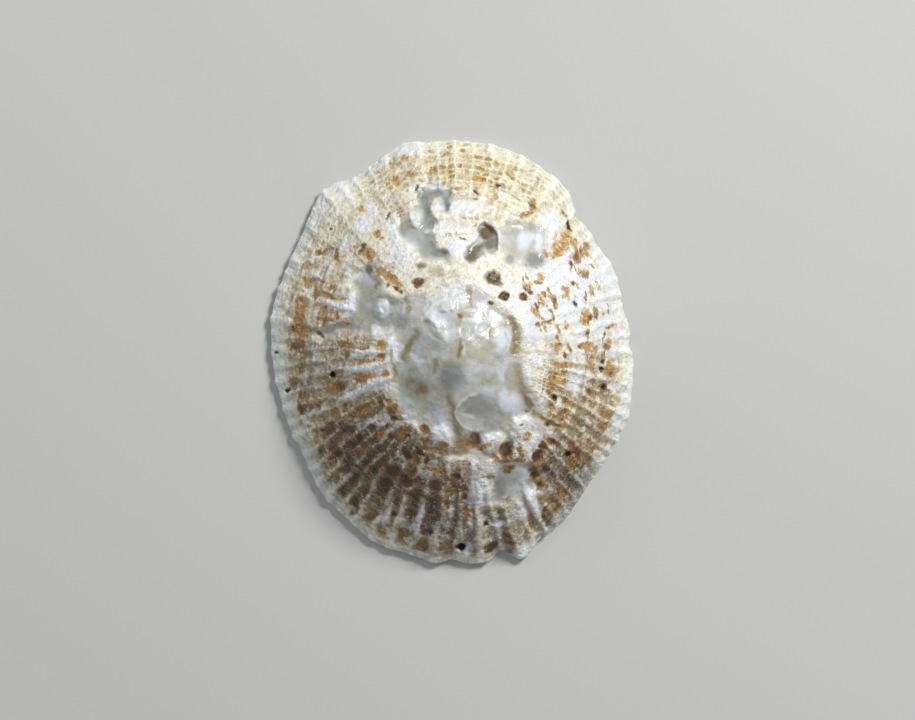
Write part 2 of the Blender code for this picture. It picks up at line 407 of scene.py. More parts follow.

# %% [markdown]
# ## Marks placed one by one
#
# Pits, bumps and stains each sit at one place. A mark is a soft oval: where it is, how wide it is, how
# long it is, and how strong. Lengths are in millimetres, and so are the depths and heights of the relief,
# while a tint's strength is a share. Most ovals are turned to point at the apex, so they lie the way the
# shell grew. The others give their own tilt before the strength. Grooves and fine ridges are lines
# through a few points.

# %% List the pits, bumps and ribs that stand out
# Each mark: x, y, half-width, half-length, its own tilt in degrees if it has one, strength
PITS = (
    (1.10, 2.02, 0.21, 0.20, 0.1), (1.40, 1.52, 0.15, 0.14, 0.12), (1.92, 1.51, 0.11, 0.08, 0.06),
    (-0.86, 2.40, 0.17, 0.11, 0.05), (-3.33, -0.61, 0.11, 0.09, 0.08), (1.47, -2.70, 0.17, 0.20, -35, 0.09),
    (3.22, -2.84, 0.13, 0.11, 0.07), (0.23, -5.46, 0.13, 0.11, 0.1), (0.90, 3.32, 0.17, 0.23, 0.06),
    (0.48, 2.64, 0.14, 0.17, 0.05), (-0.79, -2.13, 0.13, 0.11, 0.05), (0.59, -2.41, 0.17, 0.20, 0.05),
)
DISHES = (
    (0.73, -1.62, 0.56, 0.45, 0.05), (-0.06, -0.69, 0.40, 0.37, 0.035), (-0.82, 0.07, 0.31, 0.34, 0.03),
    (2.26, 2.56, 0.25, 0.20, 0.04), (3.98, 0.80, 0.34, 0.23, 0, 0.03), (-1.04, -1.09, 0.34, 0.28, 0.03),
    (0.62, -2.44, 0.34, 0.25, 0.04), (0.37, 0.58, 0.17, 0.23, 0.02), (0.82, 0.64, 0.14, 0.17, 0.02),
    (-0.93, 4.16, 0.23, 0.28, 0.02),
)
BUMPS = (
    (1.30, 0.32, 0.23, 0.34, 5, 0.07), (1.52, -1.40, 0.30, 0.34, 0.07), (-0.31, -2.30, 0.25, 0.25, 0.05),
    (-0.42, 0.72, 0.17, 0.31, 30, 0.05), (-1.44, 2.75, 0.37, 0.34, 0.05), (2.03, 0.49, 0.20, 0.51, 0, 0.04),
    (-2.54, 3.52, 0.25, 0.28, 0.03), (-1.69, 3.29, 0.20, 0.23, 0.03), (-3.47, 1.57, 0.40, 0.23, 0.03),
    (-3.47, 1.00, 0.42, 0.23, 0.04), (-1.10, 3.71, 0.20, 0.31, 0, 0.04), (-1.95, 1.23, 0.14, 0.25, 0, 0.04),
    (-0.48, 4.05, 0.14, 0.14, 0.03), (0.11, 2.87, 0.25, 0.23, 0.05), (-0.03, 3.35, 0.54, 0.11, 0, 0.04),
    (1.19, -2.47, 0.31, 0.20, 0, 0.05), (1.98, -2.10, 0.28, 0.34, 10, 0.04),
    (0.99, -3.18, 0.20, 0.20, 0.03), (-2.06, -1.91, 0.34, 0.14, 15, 0.03),
)
# Small deep holes, which the colour paints near black as painted shade
PINHOLES = (
    (0.65, 4.45, 0.10, 0.04, -25, 1), (-1.02, 4.56, 0.04, 0.10, -30, 1), (-1.81, 3.80, 0.03, 0.14, -28, 1),
    (3.22, 3.59, 0.04, 0.13, 25, 1), (3.39, 1.37, 0.04, 0.11, 22, 1), (-3.33, -0.61, 0.07, 0.06, 1),
    (-4.66, -1.06, 0.06, 0.06, 1), (2.80, -1.28, 0.04, 0.08, 5, 1), (4.18, -0.27, 0.05, 0.06, 1),
    (4.14, -0.49, 0.03, 0.07, 0, 0.9), (-4.97, 0.01, 0.05, 0.07, 1), (0.23, -5.46, 0.10, 0.08, 1),
    (3.22, -2.84, 0.06, 0.06, 1), (0.90, -4.79, 0.05, 0.05, 0.8), (4.21, -0.97, 0.06, 0.06, 0.8),
    (2.03, -1.65, 0.05, 0.07, 0.6), (-1.19, -2.27, 0.05, 0.05, 0.8), (-0.17, 4.02, 0.06, 0.11, -5, 0.35),
)
STRONG_RIBS = (
    (-2.46, -0.04, 0.07, 0.42, 0.05), (-2.46, -0.44, 0.08, 0.42, 0.07), (-2.46, -1.03, 0.09, 0.71, 0.08),
    (-3.19, 1.31, 0.07, 0.40, 0.05), (-1.75, 0.35, 0.28, 0.08, 0.05), (-1.61, -0.10, 0.25, 0.08, 0.05),
    (0.79, -3.68, 0.14, 0.34, 0.07), (2.17, -4.11, 0.11, 0.48, 0.07), (-0.93, -4.67, 0.08, 0.40, 0.05),
    (-1.84, -4.56, 0.08, 0.34, 0.05), (2.23, -0.24, 0.25, 0.07, 0.05), (3.59, -1.12, 0.45, 0.06, 0.05),
    (2.60, -0.24, 0.40, 0.06, 0.04), (-0.03, -4.31, 0.08, 0.34, 0.04), (0.48, -4.59, 0.08, 0.34, 0.04),
)
# Islands of the outer layer that still stand inside the bare patches
REMNANTS = (
    (1.98, -2.13, 0.34, 0.37, 10, 0.85), (1.13, -2.50, 0.34, 0.23, 0, 0.85),
    (-0.31, -2.27, 0.25, 0.25, 0.6), (-0.45, 4.08, 0.17, 0.14, 0.7), (-1.10, 3.71, 0.20, 0.28, 0, 0.75),
    (-1.69, 3.29, 0.20, 0.25, 0.8), (-0.08, 3.35, 0.56, 0.14, 0, 0.85), (0.11, 2.87, 0.28, 0.23, 0.85),
    (-0.20, 1.26, 0.25, 0.11, 0.5), (-0.54, 0.92, 0.14, 0.23, 0.4), (-1.95, 1.23, 0.14, 0.23, 0, 0.6),
    (-1.44, 2.72, 0.37, 0.31, 0.85), (-2.12, 0.61, 0.14, 0.11, 0.5),
)
# Thin raised outlines round some of them
RINGS = (
    (1.30, 0.32, 0.25, 0.37, 5, 0.7), (-1.95, 1.23, 0.16, 0.25, 0, 0.6), (-2.12, 0.61, 0.14, 0.13, 0.9),
    (1.98, -2.13, 0.31, 0.40, 10, 0.8), (3.16, 0.69, 0.10, 0.10, 0.5), (4.49, 0.72, 0.20, 0.10, 15, 0.4),
    (1.40, 1.52, 0.20, 0.18, 0.9), (1.92, 1.51, 0.17, 0.14, 0.6), (-0.79, -2.13, 0.18, 0.17, 0.5),
    (-1.67, -1.54, 0.16, 0.17, 0.6), (-3.25, -1.71, 0.23, 0.20, 0.4), (-4.04, 1.96, 0.24, 0.18, 0.3),
)
print(len(PITS), "pits,", len(BUMPS), "bumps,", len(REMNANTS), "islands and", len(STRONG_RIBS), "strong ribs")

# %% Draw the grooves and the fine ridges
GROOVES = (
    # width, depth, then the points it passes
    (0.118, 0.030, ((1.58, 0.89), (1.69, 0.69), (1.78, 0.44), (1.72, 0.21), (1.67, -0.01))),
    (0.144, 0.025, ((1.78, -0.44), (1.84, -0.78), (1.89, -1.09), (2.03, -1.31), (2.15, -1.54),
        (2.23, -1.74))),
    (0.109, 0.025, ((-0.14, -1.31), (0.00, -1.62), (0.11, -1.96), (0.14, -2.30), (0.17, -2.64))),
    (0.102, 0.030, ((-0.99, 0.52), (-1.13, 0.32), (-1.24, 0.07), (-1.36, -0.16))),
    (0.093, 0.020, ((-1.55, -0.32), (-1.58, -0.55), (-1.64, -0.78))),
    (0.076, 0.020, ((-1.27, 1.48), (-1.24, 1.31))),
    (0.093, 0.025, ((0.23, 0.24), (0.18, 0.07), (0.14, -0.10))),
    (0.084, 0.015, ((0.99, 0.69), (0.99, 0.47))),
    (0.109, 0.025, ((0.42, 1.74), (0.48, 1.48), (0.51, 1.26))),
    (0.068, 0.025, ((3.59, -0.86), (3.47, -1.48), (3.36, -1.96), (3.28, -2.36))),
    (0.076, 0.020, ((-0.48, -0.24), (-0.51, -0.52))),
    (0.102, 0.020, ((-0.20, -2.72), (0.08, -2.78), (0.37, -2.75))),
    (0.060, 0.020, ((2.37, -1.74), (2.68, -1.93), (3.02, -2.10))),
    (0.084, 0.020, ((-3.87, 1.93), (-3.84, 1.54))),
)
RIDGES = (
    # width, strength, then the points it passes
    (0.037, 0.9, ((0.62, -1.12), (0.40, -1.20), (0.23, -1.34), (0.11, -1.51), (0.06, -1.68),
        (0.14, -1.88), (0.28, -2.05), (0.48, -2.13), (0.71, -2.16))),
    (0.028, 0.7, ((0.28, 0.27), (0.31, 0.10), (0.28, -0.10))),
    (0.062, 0.8, ((-0.59, 0.89), (-0.45, 0.72), (-0.28, 0.52), (-0.17, 0.30))),
    (0.045, 0.7, ((-0.82, 0.92), (-0.68, 1.12), (-0.48, 1.31), (-0.25, 1.43), (-0.03, 1.48))),
    (0.037, 0.8, ((-0.20, 1.68), (-0.03, 1.82), (0.25, 1.82), (0.51, 1.88))),
    (0.037, 0.8, ((0.59, 1.79), (0.82, 1.85), (1.04, 1.82), (1.27, 1.71))),
    (0.031, 0.9, ((0.28, 0.89), (0.59, 0.89))),
    (0.028, 0.7, ((0.34, 0.82), (0.68, 0.83))),
    (0.034, 0.8, ((0.06, 1.82), (0.03, 1.60), (-0.06, 1.37))),
    (0.034, 0.7, ((0.54, 1.76), (0.54, 1.48), (0.56, 1.26))),
    (0.028, 0.7, ((0.11, 1.48), (0.42, 1.51))),
    (0.028, 0.7, ((0.28, 1.14), (0.59, 1.17))),
    (0.042, 0.9, ((-1.52, -2.05), (-1.33, -1.91), (-1.16, -1.93), (-0.99, -2.05), (-0.93, -2.22))),
    (0.034, 0.8, ((-1.36, -1.76), (-1.24, -1.91))),
    (0.051, 0.9, ((1.64, -2.39), (1.69, -2.10), (1.84, -1.88), (2.06, -1.82), (2.23, -2.02),
        (2.34, -2.27))),
    (0.042, 0.8, ((0.85, -2.50), (0.93, -2.33), (1.10, -2.24), (1.30, -2.27))),
    (0.040, 0.9, ((-0.93, 4.59), (-0.82, 4.67), (-0.62, 4.62), (-0.37, 4.53), (-0.14, 4.59), (0.06, 4.64))),
    (0.034, 0.7, ((-0.03, 4.36), (-0.11, 4.19), (0.06, 4.14))),
    (0.034, 0.8, ((0.73, 3.43), (0.85, 3.57), (1.02, 3.57), (1.19, 3.43), (1.30, 3.20), (1.33, 2.98))),
    (0.034, 0.9, ((0.03, 3.04), (-0.11, 2.87), (-0.06, 2.67), (0.14, 2.58), (0.31, 2.70), (0.37, 2.92),
        (0.25, 3.06))),
    (0.034, 0.7, ((2.15, -1.65), (2.26, -1.45), (2.15, -1.23))),
    (0.037, 0.7, ((3.02, 4.11), (3.25, 3.91), (3.42, 3.71), (3.50, 3.49))),
    (0.034, 0.8, ((2.71, 2.98), (2.77, 2.72))),
    (0.028, 0.7, ((2.63, 2.89), (2.68, 2.67))),
    (0.034, 0.7, ((2.23, 1.65), (2.29, 1.76))),
    (0.034, 0.8, ((-3.47, 1.23), (-3.44, 1.00))),
    (0.034, 0.8, ((-3.33, 1.17), (-3.33, 0.97))),
    (0.037, 0.8, ((-3.39, 0.83), (-3.16, 0.83), (-3.02, 1.00))),
    (0.040, 0.7, ((1.10, -3.57), (1.07, -3.83), (1.02, -4.05))),
    (0.042, 0.8, ((-0.20, -2.98), (0.00, -2.89), (0.25, -2.92), (0.48, -2.84))),
    (0.034, 0.7, ((0.31, -5.52), (0.37, -5.75), (0.28, -5.86))),
    (0.040, 0.7, ((-2.94, 2.19), (-2.77, 2.08), (-2.60, 2.19))),
)
print(len(GROOVES), "grooves,", len(RIDGES), "fine ridges")

# %% Test points against the marks
PINHOLE_DEPTH = 0.10
OUTLINE_WIDTH = 0.030


def oval_distance(x, y, at_x, at_y, half_across, half_along, tilt=None):
    """How far out each point is, counted in the mark's own half-widths."""
    outward = math.atan2(at_y - APEX[1], at_x - APEX[0]) - math.pi / 2
    lean = outward if tilt is None else math.radians(tilt)
    across = (x - at_x) * math.cos(lean) + (y - at_y) * math.sin(lean)
    along = (y - at_y) * math.cos(lean) - (x - at_x) * math.sin(lean)
    return np.hypot(along / half_along, across / half_across)


def marked(x, y, marks, softness=0.5):
    """The strongest of several soft ovals at each point: its strength in its middle and 0 outside."""
    strongest = np.zeros(x.shape)
    for *place, strength in marks:
        away = oval_distance(x, y, *place)
        strongest = np.maximum(strongest, strength * smooth_step((1.0 + softness - away) / (2 * softness)))
    return strongest


def ringed(x, y):
    """How strongly a thin outline shows at each point. Wear has broken the outlines into arcs."""
    strongest = np.zeros(x.shape)
    for *place, strength in RINGS:
        away = (oval_distance(x, y, *place) - 1.0) * min(place[2:4])
        strongest = np.maximum(strongest, strength * np.exp(-((away / OUTLINE_WIDTH) ** 2)))
    return strongest * smooth_step(0.55 + 0.9 * wander(x, y, 0.30, 91))


def traced(x, y, drawn):
    """The strongest of several drawn lines at each point, soft across their width."""
    strongest = np.zeros(x.shape)
    for width, strength, points in drawn:
        away = np.minimum.reduce([from_line(x, y, *ends) for ends in zip(points, points[1:])])
        strongest = np.maximum(strongest, strength * np.exp(-((away / width) ** 2)))
    return strongest


print("at the middle of the first pit:", float(marked(*np.array([PITS[0][:2]]).T, PITS)[0]), "mm deep")

# %% [markdown]
# ## Where the brown lies
#
# The colour sits in the gaps between the ribs. At the lower left it makes crowded dark blots, on the
# bright right it makes thin orange bars across the gaps, and elsewhere it is a mixture. A table by
# bearing, read with straight lines between its rows, sets how many gaps are filled and what with. The
# largest blots are listed, in three sorts: orange, dark and olive. Towards the margin the crests
# of strong ribs stay clean.

# %% Say how the brown changes round the shell
# Bearing in degrees, first and last share of the way out, share filled, thin bars, dark, olive, faint wash
BROWN_ROUND = (
    (0, 0.38, 0.95, 0.54, 0.80, 0.35, 0.40, 0.55),
    (20, 0.38, 0.95, 0.52, 0.85, 0.30, 0.50, 0.20),
    (40, 0.42, 0.95, 0.52, 0.80, 0.30, 0.50, 0.20),
    (58, 0.50, 0.95, 0.48, 0.60, 0.30, 0.50, 0.35),
    (75, 0.50, 0.96, 0.45, 0.50, 0.15, 0.60, 0.40),
    (95, 0.55, 0.96, 0.45, 0.50, 0.15, 0.40, 0.40),
    (112, 0.55, 0.95, 0.54, 0.35, 0.20, 0.20, 0.50),
    (125, 0.60, 0.90, 0.38, 0.40, 0.15, 0.40, 0.35),
    (140, 0.42, 0.88, 0.52, 0.50, 0.25, 0.40, 0.45),
    (160, 0.45, 0.93, 0.57, 0.60, 0.30, 0.30, 0.70),
    (180, 0.45, 0.95, 0.67, 0.50, 0.40, 0.35, 0.80),
    (200, 0.45, 0.95, 0.82, 0.35, 0.60, 0.50, 0.85),
    (215, 0.40, 0.94, 0.97, 0.25, 0.70, 0.60, 1.00),
    (232, 0.36, 0.97, 1.07, 0.20, 0.75, 0.60, 1.00),
    (250, 0.36, 0.99, 1.10, 0.20, 0.80, 0.55, 0.95),
    (268, 0.42, 0.99, 1.02, 0.25, 0.80, 0.60, 0.85),
    (282, 0.50, 0.99, 0.77, 0.25, 0.60, 0.65, 0.60),
    (297, 0.62, 0.99, 0.87, 0.15, 0.70, 0.60, 0.80),
    (312, 0.58, 0.97, 0.87, 0.20, 0.65, 0.55, 0.95),
    (330, 0.50, 0.95, 0.67, 0.40, 0.50, 0.45, 1.00),
    (345, 0.45, 0.95, 0.57, 0.60, 0.40, 0.40, 0.85),
    (360, 0.38, 0.95, 0.54, 0.80, 0.35, 0.40, 0.55),
)
# Broad faint washes of tan
WASHES = (
    (3.81, -1.12, 0.42, 1.07, -4, 0.95), (4.32, -0.64, 0.25, 0.51, 0, 0.7),
    (-4.30, 0.35, 0.30, 1.60, 4, 1), (-3.47, 1.48, 0.51, 0.34, 0.6), (-3.05, 0.07, 0.62, 0.25, 0.55),
    (-3.05, -0.78, 0.73, 0.40, 0.6), (-3.81, -1.34, 0.45, 0.51, 0.7), (3.16, -4.02, 0.56, 0.90, 25, 0.8),
    (2.74, -1.48, 0.45, 0.34, 0.5), (-1.64, 5.01, 0.51, 0.40, 0.5), (-2.06, 2.47, 0.73, 0.34, -35, 0.6),
    (3.73, 2.75, 0.45, 0.56, 0.5), (1.33, -2.89, 0.96, 0.23, 0.6), (-0.65, -1.20, 0.45, 0.34, 0.5),
    (1.89, -5.15, 0.79, 0.45, 0.7), (-0.37, 2.16, 0.62, 0.20, 0.55), (3.87, 0.92, 0.23, 0.56, 0.6),
)
# Places that chance leaves clean
CLEAN = (
    (-2.60, 3.60, 0.56, 0.73, 1), (-1.44, 2.84, 0.45, 0.34, 1), (0.88, -3.94, 0.34, 0.51, 0.9),
    (2.06, -4.11, 0.31, 0.71, 0.9), (3.59, 0.55, 0.20, 0.90, 0.4), (-2.54, 2.61, 0.56, 0.56, 0.7),
    (2.00, 3.18, 0.56, 0.68, 1), (0.40, 1.71, 0.96, 0.40, 0.8), (-3.61, 0.01, 0.40, 0.51, 0.5),
    (-1.84, -2.67, 0.40, 0.25, 0.9), (3.30, -0.92, 0.34, 0.34, 0.9), (2.17, 0.35, 0.28, 0.62, 0.8),
    (-0.37, -3.04, 0.62, 0.17, 0.4),
)


def by_bearing(bearing, table):
    """The columns of a table whose first column is the bearing, read with straight lines between its rows."""
    rows = np.array(table, float)
    return [np.interp(np.degrees(bearing) % 360.0, rows[:, 0], column) for column in rows.T[1:]]


print("share filled at the lower left:", round(float(by_bearing(math.radians(225), BROWN_ROUND)[2]), 2))

# %% Place the largest blots one by one
# Each blot: x, y, half-width, half-length, its own tilt in degrees if it has one, strength
ORANGE_BLOTS = (
    (2.03, 3.84, 0.17, 0.07, 10, 0.8), (3.16, 3.29, 0.11, 0.17, -20, 0.8),
    (3.11, 3.09, 0.14, 0.14, -30, 0.9), (2.94, 2.89, 0.17, 0.14, -30, 0.9),
    (2.82, 2.72, 0.17, 0.10, 0, 0.9), (3.76, 3.01, 0.14, 0.10, -20, 0.8),
    (2.40, 2.08, 0.08, 0.13, -15, 0.75), (2.34, 1.93, 0.11, 0.06, 0, 0.8),
    (3.11, 1.74, 0.13, 0.08, -15, 0.75), (3.90, 1.74, 0.08, 0.17, 0, 0.8),
    (2.23, 1.12, 0.06, 0.14, 35, 0.7), (3.70, 0.97, 0.12, 0.21, 5, 1), (2.88, 0.16, 0.16, 0.10, 0, 0.7),
    (3.73, 0.16, 0.16, 0.17, 0.8), (3.92, 0.04, 0.08, 0.08, 0.8), (2.94, -0.38, 0.17, 0.11, 0, 0.9),
    (2.82, -0.78, 0.31, 0.11, 0, 0.65), (2.82, -1.60, 0.31, 0.08, -38, 0.6),
    (2.48, -1.82, 0.17, 0.06, -30, 0.9), (3.87, -0.27, 0.17, 0.08, 0, 0.6),
    (4.40, -0.49, 0.16, 0.23, 0, 0.9), (4.24, -1.76, 0.14, 0.11, -30, 0.85),
    (1.47, -2.72, 0.16, 0.18, -35, 1), (2.40, -3.06, 0.23, 0.13, 0, 0.7), (2.94, -3.94, 0.13, 0.23, 0, 0.8),
    (2.94, -4.33, 0.14, 0.14, 0.65), (2.51, -4.08, 0.10, 0.10, 0.95), (-0.11, -5.58, 0.14, 0.11, 0.8),
    (-0.42, -3.32, 0.14, 0.07, -15, 0.85), (-0.65, -3.23, 0.17, 0.04, -5, 0.7),
    (-0.28, -2.53, 0.14, 0.08, 0, 0.9), (-0.37, -2.67, 0.17, 0.04, -15, 0.85),
    (-0.73, -2.50, 0.10, 0.17, 0, 0.6), (0.37, -2.53, 0.23, 0.20, 0.7), (0.93, -2.58, 0.14, 0.07, 15, 0.75),
    (1.13, -2.89, 0.11, 0.08, 0.8), (-0.79, -2.13, 0.14, 0.12, 0.95), (-3.25, -1.71, 0.14, 0.14, 0.95),
    (-1.67, -1.54, 0.09, 0.11, 1), (-1.98, -2.22, 0.17, 0.13, 20, 0.95), (-1.27, -2.13, 0.08, 0.11, 0.85),
    (-1.47, -2.27, 0.16, 0.14, 1), (-2.37, -3.26, 0.14, 0.17, 0.7), (-1.95, -4.22, 0.14, 0.08, 0, 0.7),
    (-1.13, -2.98, 0.14, 0.13, 0.85), (-2.43, -1.57, 0.17, 0.13, -20, 0.9), (-1.36, 5.44, 0.14, 0.11, 0.7),
    (-1.69, 5.29, 0.11, 0.07, 0, 0.6), (-1.19, 4.98, 0.14, 0.08, 10, 0.7),
    (-1.64, 4.81, 0.20, 0.11, -15, 0.62), (-2.57, 4.02, 0.09, 0.11, 0.62),
    (-2.71, 2.95, 0.08, 0.05, -30, 0.8), (-2.32, 2.72, 0.13, 0.18, 0, 0.85),
    (-1.98, 2.24, 0.11, 0.10, -20, 0.8), (-1.81, 2.10, 0.14, 0.10, -35, 0.85),
    (-1.64, 1.99, 0.11, 0.10, -30, 0.85), (-1.47, 1.88, 0.08, 0.11, 0.85),
    (-4.04, 1.96, 0.20, 0.14, 0, 0.85), (-4.09, 2.44, 0.13, 0.13, 0.85),
    (-3.53, 1.60, 0.20, 0.10, -20, 0.65), (-3.11, 1.48, 0.16, 0.06, 0, 0.8), (-3.61, 1.06, 0.18, 0.16, 0.7),
    (-3.30, 1.00, 0.17, 0.14, 0.7), (-3.84, 1.74, 0.07, 0.20, 0, 0.75), (-4.24, 1.26, 0.18, 0.28, 0, 0.85),
    (-4.28, 0.62, 0.24, 0.34, 0, 0.75), (-3.11, 0.18, 0.11, 0.08, 0.9), (-2.00, 0.18, 0.13, 0.13, 0.9),
    (-2.40, 0.10, 0.14, 0.03, 0, 0.6), (-1.98, -0.13, 0.11, 0.11, 0.9), (-2.32, -0.24, 0.25, 0.07, 0, 0.6),
    (-2.43, -0.66, 0.31, 0.10, 5, 0.75), (-1.84, -0.61, 0.10, 0.11, 0.85), (-3.36, -0.95, 0.14, 0.14, 0.75),
    (-0.08, 5.77, 0.08, 0.05, 0, 0.85), (-0.17, 5.60, 0.08, 0.05, 0, 0.7), (0.27, 5.69, 0.08, 0.05, 0, 0.7),
    (-0.58, 5.08, 0.11, 0.11, 0.6), (1.19, 5.28, 0.11, 0.06, 0, 0.8), (0.79, 5.12, 0.08, 0.06, 0, 0.7),
    (0.71, 4.85, 0.20, 0.06, -15, 0.9), (0.02, 4.59, 0.11, 0.06, 0, 0.8), (1.20, 4.34, 0.09, 0.08, 0.75),
    (-1.21, 1.17, 0.06, 0.10, 0, 0.7),
)
DARK_BLOTS = (
    (3.25, 3.23, 0.08, 0.07, 0.95), (2.74, 2.89, 0.03, 0.11, 10, 0.7), (3.30, 2.47, 0.08, 0.11, 30, 0.85),
    (3.44, 2.56, 0.07, 0.11, 0, 0.7), (3.28, 2.33, 0.04, 0.08, 0, 0.8), (3.43, 2.30, 0.03, 0.23, 28, 0.85),
    (3.90, 2.41, 0.04, 0.11, 35, 0.7), (2.50, 2.02, 0.04, 0.04, 0.8), (3.33, 1.93, 0.07, 0.07, 0.95),
    (3.70, 1.65, 0.03, 0.08, 15, 0.7), (1.95, 1.51, 0.12, 0.09, -20, 1), (1.98, 1.74, 0.03, 0.11, 30, 0.7),
    (2.12, 1.76, 0.04, 0.10, 0, 0.85), (2.13, 1.65, 0.13, 0.05, 0, 0.75), (2.29, 1.26, 0.04, 0.11, 20, 0.8),
    (3.78, 1.00, 0.04, 0.18, 8, 0.85), (3.67, 1.48, 0.04, 0.14, 0, 0.7), (3.98, 0.95, 0.07, 0.05, 0, 0.8),
    (4.21, 0.38, 0.03, 0.20, -8, 0.9), (4.24, 0.04, 0.03, 0.20, 0, 0.8),
    (2.68, -1.12, 0.07, 0.05, 20, 0.85), (2.80, -1.28, 0.05, 0.10, 5, 1), (2.48, -1.03, 0.04, 0.03, 0, 0.7),
    (2.88, -2.02, 0.17, 0.05, -20, 0.9), (2.71, -1.93, 0.08, 0.05, -30, 0.8), (4.18, -0.30, 0.06, 0.08, 1),
    (4.14, -0.49, 0.04, 0.08, 0, 0.95), (4.40, -0.58, 0.08, 0.10, 0.8), (4.21, -1.00, 0.11, 0.13, 1),
    (4.35, -1.09, 0.11, 0.06, 0, 0.65), (1.89, -1.99, 0.08, 0.04, 20, 0.8),
    (2.77, -2.47, 0.17, 0.09, 0, 0.85), (2.94, -2.58, 0.08, 0.08, 0.7), (2.43, -2.75, 0.14, 0.08, 0, 0.75),
    (3.22, -2.84, 0.08, 0.08, 0.95), (2.60, -4.39, 0.08, 0.10, 0.9), (2.54, -4.62, 0.08, 0.14, 0, 0.9),
    (2.68, -4.81, 0.11, 0.11, 0.9), (1.64, -5.10, 0.10, 0.17, -10, 0.9),
    (1.30, -5.18, 0.08, 0.20, -15, 0.8), (1.27, -5.46, 0.08, 0.14, 0, 0.7), (0.88, -4.79, 0.08, 0.07, 0.95),
    (1.58, -5.58, 0.14, 0.11, 0.8), (0.85, -5.58, 0.13, 0.27, -10, 0.85),
    (0.68, -5.63, 0.08, 0.20, 0, 0.65), (-0.03, -5.04, 0.17, 0.13, 0.8), (-0.42, -4.96, 0.08, 0.08, 0.9),
    (-0.48, -5.24, 0.10, 0.24, -20, 0.9), (-0.68, -5.52, 0.11, 0.11, 0.8), (-0.28, -4.59, 0.11, 0.14, 0.8),
    (-0.65, -4.45, 0.11, 0.11, 0.9), (-0.31, -4.31, 0.08, 0.11, 0.7), (0.11, -4.76, 0.08, 0.14, 0, 0.75),
    (0.28, -3.77, 0.11, 0.18, 0, 0.85), (0.25, -3.52, 0.08, 0.07, 0.9), (0.31, -4.02, 0.08, 0.10, 0.9),
    (0.00, -3.66, 0.08, 0.05, 0, 0.8), (0.76, -3.49, 0.08, 0.08, 0.95), (0.17, -3.26, 0.17, 0.03, 0, 0.8),
    (-0.90, -2.75, 0.08, 0.18, 38, 0.9), (-0.73, -2.98, 0.08, 0.13, 20, 0.95),
    (-0.20, -2.75, 0.06, 0.04, 0, 0.9), (0.59, -2.41, 0.13, 0.21, 0, 0.75), (0.76, -2.67, 0.08, 0.08, 0.75),
    (-1.64, -1.82, 0.11, 0.06, 0, 0.95), (-1.47, -1.85, 0.11, 0.04, 0, 0.8),
    (-1.81, -2.02, 0.05, 0.08, 0, 0.8), (-1.61, -2.30, 0.08, 0.08, 0.8), (-2.91, -2.13, 0.25, 0.13, -32, 1),
    (-2.63, -2.53, 0.20, 0.11, 10, 0.95), (-3.53, -2.19, 0.28, 0.10, 0, 0.75),
    (-3.61, -2.39, 0.14, 0.08, 0, 0.7), (-3.28, -2.75, 0.20, 0.18, -20, 0.95),
    (-3.39, -2.95, 0.17, 0.08, 0, 0.7), (-2.85, -3.32, 0.25, 0.14, -15, 0.7),
    (-1.78, -3.23, 0.18, 0.21, -35, 0.9), (-2.06, -3.54, 0.08, 0.08, 0.9), (-1.36, -3.54, 0.13, 0.11, 0.95),
    (-1.02, -3.54, 0.17, 0.10, 0, 0.75), (-2.34, -3.85, 0.18, 0.20, 0.75), (-2.09, -3.68, 0.10, 0.10, 0.7),
    (-1.69, -4.02, 0.13, 0.11, 0.9), (-0.96, -3.85, 0.13, 0.11, 0.9), (-1.19, -4.48, 0.20, 0.14, 0, 0.75),
    (-1.58, -2.98, 0.08, 0.08, 0.7), (-0.59, -4.08, 0.14, 0.08, 0, 0.7), (-0.34, -4.00, 0.17, 0.07, 0, 0.7),
    (-3.42, 3.46, 0.06, 0.04, 0.8), (-2.48, 2.89, 0.09, 0.16, -35, 1), (-1.58, 1.74, 0.10, 0.06, -35, 0.9),
    (-1.44, 1.65, 0.07, 0.03, -40, 0.8), (-0.93, 1.93, 0.16, 0.12, 10, 0.8),
    (1.26, 4.70, 0.09, 0.06, 0, 0.95), (-3.87, 1.60, 0.06, 0.08, 0, 0.7), (-4.38, 0.10, 0.20, 0.26, 0.7),
    (-2.80, -3.60, 0.10, 0.14, 0, 0.7),
)
